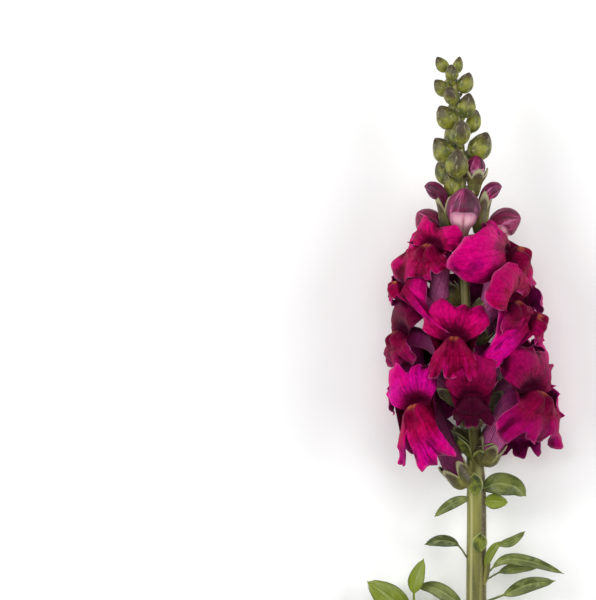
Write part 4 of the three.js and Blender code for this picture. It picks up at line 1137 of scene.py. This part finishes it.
def green_bud(x, y, above, width, length, lean_right, lean_up):
    """
    A bud wrapped in its calyx: a pear shape whose sepals overlap in steps, with thin pale edges and a
    small dark beak, on a short stalk. Its radius is width / 2 x sin(pi t^0.88)^0.62, a little wider at the
    foot, where t runs from 0 to 1 along it, and each sepal adds a step that grows round the bud.
    """
    middle = beside([x, y, above])
    right, lift = math.radians(lean_right), math.radians(lean_up)
    axis = np.array([math.sin(right) * math.cos(lift), math.cos(right) * math.cos(lift), math.sin(lift)])
    side, up, forward = frame_along(axis, [0, 0, 1])
    t, turn = np.linspace(0, 1, 30)[:, None], around(50)
    profile = np.sin(math.pi * t**0.88) ** 0.62 * (1.04 - 0.1 * t) + 0.1 * (1 - t)
    share = (turn * SEPALS / (2 * math.pi) + 0.35 * t + x) % 1
    step = 0.13 * (share - 0.5) * ease(0.02, 0.3, t) * ease(1.0, 0.8, t)
    foot = middle - forward * 0.5 * length
    rise = t * length * (1 + 0.04 * np.cos(2 * math.pi * share) * t)
    hooked = foot + forward * rise[..., None] + up * (0.06 * length * t**3)[..., None]
    start = root_of(min(foot[1] - 2, 300), foot)
    stalk = np.linspace(0, 0.9, 6)[:, None, None]
    rings = np.concatenate([
        ringed(start + (foot - start) * stalk, side, up, np.full((6, 1), min(0.9, width * 0.16)), turn),
        ringed(hooked, side, up, width / 2 * profile * (1 + step), turn),
    ])
    seam = np.minimum(share, 1 - share)
    flush = 0.85 * ease(0.5, 0.95, t) + 0.4 * bell(seam, 0, 0.1) * ease(0.2, 0.7, t)
    flush = flush + 0.8 * ease(2.2, 3.0, above) * bell(turn, 1.7, 0.55) * bell(t, 0.62, 0.3)
    edge = 0.4 * bell(share, 1.0, 0.05) * ease(0.15, 0.3, t) * ease(0.98, 0.85, t)
    bare_stalk = np.zeros((len(stalk), len(turn)))
    values = {"flush": np.clip(flush, 0, 0.88), "edge": edge}
    return ring_surface(rings, {name: np.concatenate([bare_stalk, grid]) for name, grid in values.items()})


def green_buds():
    """All green buds as one surface."""
    return joined([green_bud(*one) for one in GREEN_BUDS])


def blade(rib, half_widths, normal_up, fold, across=14, wave=0.0, phase=0.0):
    """
    A thin leaf as one closed surface. A cross-section runs over its face from left to right and back
    underneath. rib is its midrib, row by row. The halves fold up along it, and the margins wave.
    """
    side, up, _ = frame_along(np.gradient(rib, axis=0), normal_up)
    p, q = np.linspace(-1, 1, across), np.linspace(0, 1, len(rib))[:, None]
    wide, out = half_widths[:, None], np.abs(p)
    lift = out * np.sin(fold) + wave * out**2 * np.sin(9 * q + 2 * np.sign(p) + phase) * ease(0.05, 0.4, q)
    middle = rib[:, None] + side[:, None] * (wide * p * np.cos(fold))[..., None]
    middle = middle + up[:, None] * (wide * lift)[..., None]
    thick = BLADE_THICKNESS / 2 * (0.35 + 0.65 * np.sqrt(np.clip(1 - p**2, 0, 1)))
    groove, keel = -0.24 * bell(p, 0, 0.1), 0.45 * bell(p, 0, 0.12) * ease(1, 0.3, q)
    top = middle + up[:, None] * (thick + groove)[..., None]
    under = middle - up[:, None] * (thick + keel)[..., None]

    # the values of a cross-section, over the face and back
    out = np.concatenate([out, out[::-1]])
    slanted = np.abs(np.sin(math.pi * (4.5 * q - 1.6 * out)))
    midrib = 0.5 * bell(out, 0, 0.09) * ease(1.0, 0.8, q)
    values = {
        "front": np.arange(2 * across) < across,
        "rib": np.clip(midrib + 0.28 * bell(slanted, 0, 0.16) * ease(1.0, 0.7, out), 0, 1),
        "edge": 0.5 * ease(0.7, 1.0, out),
        "grain": 0.5 + 0.5 * np.cos(22 * out**0.8 * (1 + 0.15 * q)),
        "flush": 0.2 * ease(0.8, 1.0, q),
    }
    return ring_surface(np.concatenate([top, under[:, ::-1]], 1), values)


def bract(y, azimuth, length, width, lean):
    """A narrow pointed blade that leaves the stem and leans away from it, a little more towards its tip."""
    centre, radius = stem_at(y)
    away = outward(azimuth)
    q = np.linspace(0, 1, 26)
    bend = np.radians(lean + 12 * q)[:, None]
    start = centre + away * (radius - 0.2)
    rib = start + (away * np.sin(bend) + np.array([0, 1, 0]) * np.cos(bend)) * (length * q)[:, None]
    half = width / 2 * (0.2 + 0.8 * np.sin(math.pi * (0.05 + 0.9 * q)) ** 1.1) * ease(1.03, 0.75, q)
    return blade(rib, half, away, math.radians(14), wave=0.08, phase=y)


def leaf(half, fold, sunny, stalk, points, phase):
    """
    A lanceolate leaf on its midrib, narrowed to a short stalk. Past the stalk the half width is
    half x (0.13 + 0.87 sin(pi u^0.85)^0.95), where u runs from 0 to 1.
    """
    q = np.linspace(0, 1, 46)
    rib = smooth_curve(points, q)
    u = np.clip((q - stalk) / (1 - stalk), 0, 0.985)
    wide = half * (0.13 + 0.87 * np.sin(math.pi * u**0.85) ** 0.95)
    wide = wide * ease(1.02, 0.9, q) + 0.05
    made = blade(rib, wide, [0, 0, 1], math.radians(fold), across=18, wave=0.2, phase=phase)
    made["values"]["sunny"] = np.full(len(made["points"]), sunny)
    return made


def hairs(surface, count, length, seed):
    """
    Fine hairs on a surface, each a three-sided needle that leans towards the stem's tip. Their feet are
    drawn evenly over the area, and their lengths are from half of length to all of it.
    """
    drawn = np.random.default_rng(seed)
    quads, fans = (np.concatenate(surface["faces"][k::2]) for k in (0, 1))
    a, b, c = corners(surface["points"], quads, fans)
    square = np.cross(b - a, c - a)
    area = np.linalg.norm(square, axis=1)
    chosen = drawn.choice(len(area), count, p=area / area.sum())
    u, v = drawn.uniform(size=(2, count, 1))
    u, v = np.where(u + v > 1, 1 - u, u), np.where(u + v > 1, 1 - v, v)
    foot = a[chosen] + (b - a)[chosen] * u + (c - a)[chosen] * v
    normal = unit(square[chosen])
    way = unit(normal + 0.25 * drawn.normal(size=(count, 3)) + [0, 0.3, 0])
    side = unit(np.cross(way, drawn.normal(size=(count, 3))))
    other, thick = np.cross(way, side), np.full((count, 1), HAIR_RADIUS)
    base = ringed((foot - normal * 0.05)[:, None], side[:, None], other[:, None], thick, around(3))
    end = foot + way * length * drawn.uniform(0.5, 1.0, (count, 1))
    points = np.concatenate([base, end[:, None]], 1).reshape(-1, 3)
    first = 4 * np.arange(count)[:, None, None]
    faces = (first + np.array([[0, 2, 1], [0, 1, 3], [1, 2, 3], [2, 0, 3]])).reshape(-1, 3)
    return {"points": points, "faces": [faces], "values": {"tip": np.tile([0.0, 0, 0, 1], count)}}


# ---------------------------------------------------------------- settings and operators


def colour_setting(name, description, code):
    """A colour that may be changed, with a hex code for its default."""
    return bpy.props.FloatVectorProperty(
        name=name, description=description, default=srgb(code), size=4, min=0, max=1, subtype="COLOR",
    )


class SnapdragonSettings(bpy.types.PropertyGroup):
    """What may be changed before the stem is built."""

    petal_dark: colour_setting("Petal, dark", "Darker colour of a petal's face", "#84002A")
    petal_light: colour_setting("Petal, light", "Lighter colour of a petal's face", "#BE004C")
    petal_glow: colour_setting("Petal, glow", "Colour of a petal's face where it gathers light", "#DC0098")

    ruffle: bpy.props.FloatProperty(
        name="Ruffle", description="Height of the waves at the petals' margins",
        default=1.1 * MM, min=0, max=3 * MM, unit="LENGTH", subtype="DISTANCE", precision=4,
    )
    key_power: bpy.props.FloatProperty(
        name="Key light", description="Power of the large soft light", default=9.0, min=0, unit="POWER",
    )
    fill_power: bpy.props.FloatProperty(
        name="Fill light", description="Power of the light from the side", default=8.0, min=0, unit="POWER",
    )
    top_power: bpy.props.FloatProperty(
        name="Top light", description="Power of the light from above", default=6.0, min=0, unit="POWER",
    )
    camera_height: bpy.props.FloatProperty(
        name="Camera height", description="Height of the camera over the surface",
        default=2.2, min=0.5, unit="LENGTH", subtype="DISTANCE",
    )
    field_height: bpy.props.FloatProperty(
        name="Field height", description="Height of what the camera sees",
        default=0.24, min=0.05, unit="LENGTH", subtype="DISTANCE",
    )


class SNAPDRAGON_OT_stem(bpy.types.Operator):
    """Build the main stem with its side shoots and bracts"""

    bl_idname = "snapdragon.stem"
    bl_label = "Stem and bracts"

    def execute(self, context):
        colours = ("#565624", "#8A883C", "#40281C", "#C8C484")
        skin = green_material("Olive stem skin", *colours, mottling=0.3, shaded=0.25, stretch=16.0)
        make_piece("Stem", joined([main_stem(), *(shoot(points) for points in SHOOTS)]), skin)
        colours = ("#3A481A", "#8A9434", "#241A14", "#C4CC8C")
        green = green_material("Bract green with dark folds", *colours, mottling=0.15)
        make_piece("Bracts", joined([bract(*one) for one in BRACTS]), green)
        return {"FINISHED"}


class SNAPDRAGON_OT_calyces(bpy.types.Operator):
    """Build the pedicels and five-lobed calyces that hold the florets"""

    bl_idname = "snapdragon.calyces"
    bl_label = "Calyces"

    def execute(self, context):
        colours = ("#565424", "#868438", "#3A1A22", "#CCC694")
        make_piece("Calyces", calyces(), green_material("Flushed calyx green", *colours, mottling=0.3))
        return {"FINISHED"}


class SNAPDRAGON_OT_green_buds(bpy.types.Operator):
    """Build the green buds at the tip"""

    bl_idname = "snapdragon.green_buds"
    bl_label = "Green buds"

    def execute(self, context):
        colours = ("#4A5216", "#8E9028", "#341812", "#E0DCA4")
        green = green_material("Bud green with brown flush", *colours, mottling=0.2)
        make_piece("Green_buds", green_buds(), green)
        return {"FINISHED"}


class SNAPDRAGON_OT_hairs(bpy.types.Operator):
    """Cover the buds, the calyces and the stem with fine hairs"""

    bl_idname = "snapdragon.hairs"
    bl_label = "Hairs"

    def execute(self, context):
        surfaces = [
            hairs(green_buds(), count=7000, length=0.8, seed=1),
            hairs(calyces(), count=8000, length=0.8, seed=2),
            hairs(main_stem(), count=9000, length=0.7, seed=3),
        ]
        make_piece("Hairs", joined(surfaces), hair_material())
        return {"FINISHED"}


class SNAPDRAGON_OT_open_florets(bpy.types.Operator):
    """Build the open florets"""

    bl_idname = "snapdragon.open_florets"
    bl_label = "Open florets"

    def execute(self, context):
        settings = context.scene.snapdragon
        ruffle = round(settings.ruffle / MM, 3)
        material = petal_material(settings.petal_dark, settings.petal_light, settings.petal_glow)
        for number, surface in enumerate(open_corollas(ruffle), 1):
            make_piece(f"Floret_{number:02d}", surface, material, [f"Corolla_{number:02d}"])
        return {"FINISHED"}


class SNAPDRAGON_OT_closed_florets(bpy.types.Operator):
    """Build the closed and opening florets at the top of the head"""

    bl_idname = "snapdragon.closed_florets"
    bl_label = "Closed florets"

    def execute(self, context):
        material = closed_petal_material()
        for name, (foot, tip, radius, _, _, *shape) in CLOSED_FLORETS.items():
            surface = closed_floret(foot, tip, radius, *shape)
            make_piece(name + "_petals", surface, material, [name])
        return {"FINISHED"}


class SNAPDRAGON_OT_leaves(bpy.types.Operator):
    """Build the leaves"""

    bl_idname = "snapdragon.leaves"
    bl_label = "Leaves"

    def execute(self, context):
        material = leaf_material()
        for number, (name, sizes) in enumerate(LEAVES.items()):
            surface = leaf(*sizes, 1.7 * number)
            make_piece(f"Leaf_{name}_blade", surface, material, [f"Leaf_{name}"])
        return {"FINISHED"}


class SNAPDRAGON_OT_stage(bpy.types.Operator):
    """Set the pale surface, the soft lights and the camera that looks straight down"""

    bl_idname = "snapdragon.stage"
    bl_label = "Stage and camera"

    def execute(self, context):
        scene, settings = context.scene, context.scene.snapdragon
        mesh = bpy.data.meshes.new("Surface")
        square = [(-1, -1), (1, -1), (1, 1), (-1, 1)]
        mesh.from_pydata([(x * FLOOR_HALF, y * FLOOR_HALF, 0) for x, y in square], [], [(0, 1, 2, 3)])
        mesh.materials.append(floor_material())
        floor = put("Surface", mesh, (0, 0, -FLOOR_GAP))

        # name, place, diameter and power
        lights = [
            ("Left light", (-0.9, 0.3, 0.75), 0.8, settings.key_power),
            ("Right light", (0.95, 0.1, 0.7), 0.8, settings.fill_power),
            ("Top light", (0.0, 0.35, 1.5), 1.0, settings.top_power),
        ]
        aim = Vector((SHIFT[0] * MM, 0.05, FLOWER_HEIGHT))
        for name, place, size, power in lights:
            data = bpy.data.lights.new(name, "AREA")
            data.shape, data.size, data.energy = "DISK", size, power
            light = put(name, data, place)
            light.rotation_euler = (aim - Vector(place)).to_track_quat("-Z", "Y").to_euler()
        world = bpy.data.worlds.new("Pale room")
        world.use_nodes = True
        room = {"Color": srgb("#FFFFFF"), "Strength": 0.3}
        fill(world.node_tree, world.node_tree.nodes["Background"], room)
        scene.world = world
        scene.view_settings.view_transform = "Standard"

        data = bpy.data.cameras.new("Camera")
        data.sensor_width = 36
        data.lens = data.sensor_width * (settings.camera_height - FLOWER_HEIGHT) / settings.field_height
        data.clip_end = 10
        x, y = (SHIFT[:2] + VIEW_CENTRE) * MM
        scene.camera = put("Camera", data, (x, y, settings.camera_height))
        return {"FINISHED"}


class SNAPDRAGON_PT_panel(bpy.types.Panel):
    """Sidebar panel of the snapdragon stem"""

    bl_label = "Snapdragon stem"
    bl_idname = "SNAPDRAGON_PT_panel"
    bl_space_type = "VIEW_3D"
    bl_region_type = "UI"
    bl_category = "Snapdragon"

    def draw(self, context):
        for name in SnapdragonSettings.__annotations__:
            self.layout.prop(context.scene.snapdragon, name)
        for operator in OPERATORS:
            self.layout.operator(operator.bl_idname)


OPERATORS = [
    SNAPDRAGON_OT_stem,
    SNAPDRAGON_OT_calyces,
    SNAPDRAGON_OT_green_buds,
    SNAPDRAGON_OT_hairs,
    SNAPDRAGON_OT_open_florets,
    SNAPDRAGON_OT_closed_florets,
    SNAPDRAGON_OT_leaves,
    SNAPDRAGON_OT_stage,
]
CLASSES = [SnapdragonSettings, *OPERATORS, SNAPDRAGON_PT_panel]


def register():
    """Registers the settings, the operators and the panel."""
    for one in CLASSES:
        bpy.utils.register_class(one)
    bpy.types.Scene.snapdragon = bpy.props.PointerProperty(type=SnapdragonSettings)


def unregister():
    """Takes everything out again."""
    del bpy.types.Scene.snapdragon
    for one in reversed(CLASSES):
        bpy.utils.unregister_class(one)


def main():
    """Builds the stem and its stage."""
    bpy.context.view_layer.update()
    register()
    for operator in OPERATORS:
        group, name = operator.bl_idname.split(".")
        getattr(getattr(bpy.ops, group), name)()


if __name__ == "__main__":
    main()
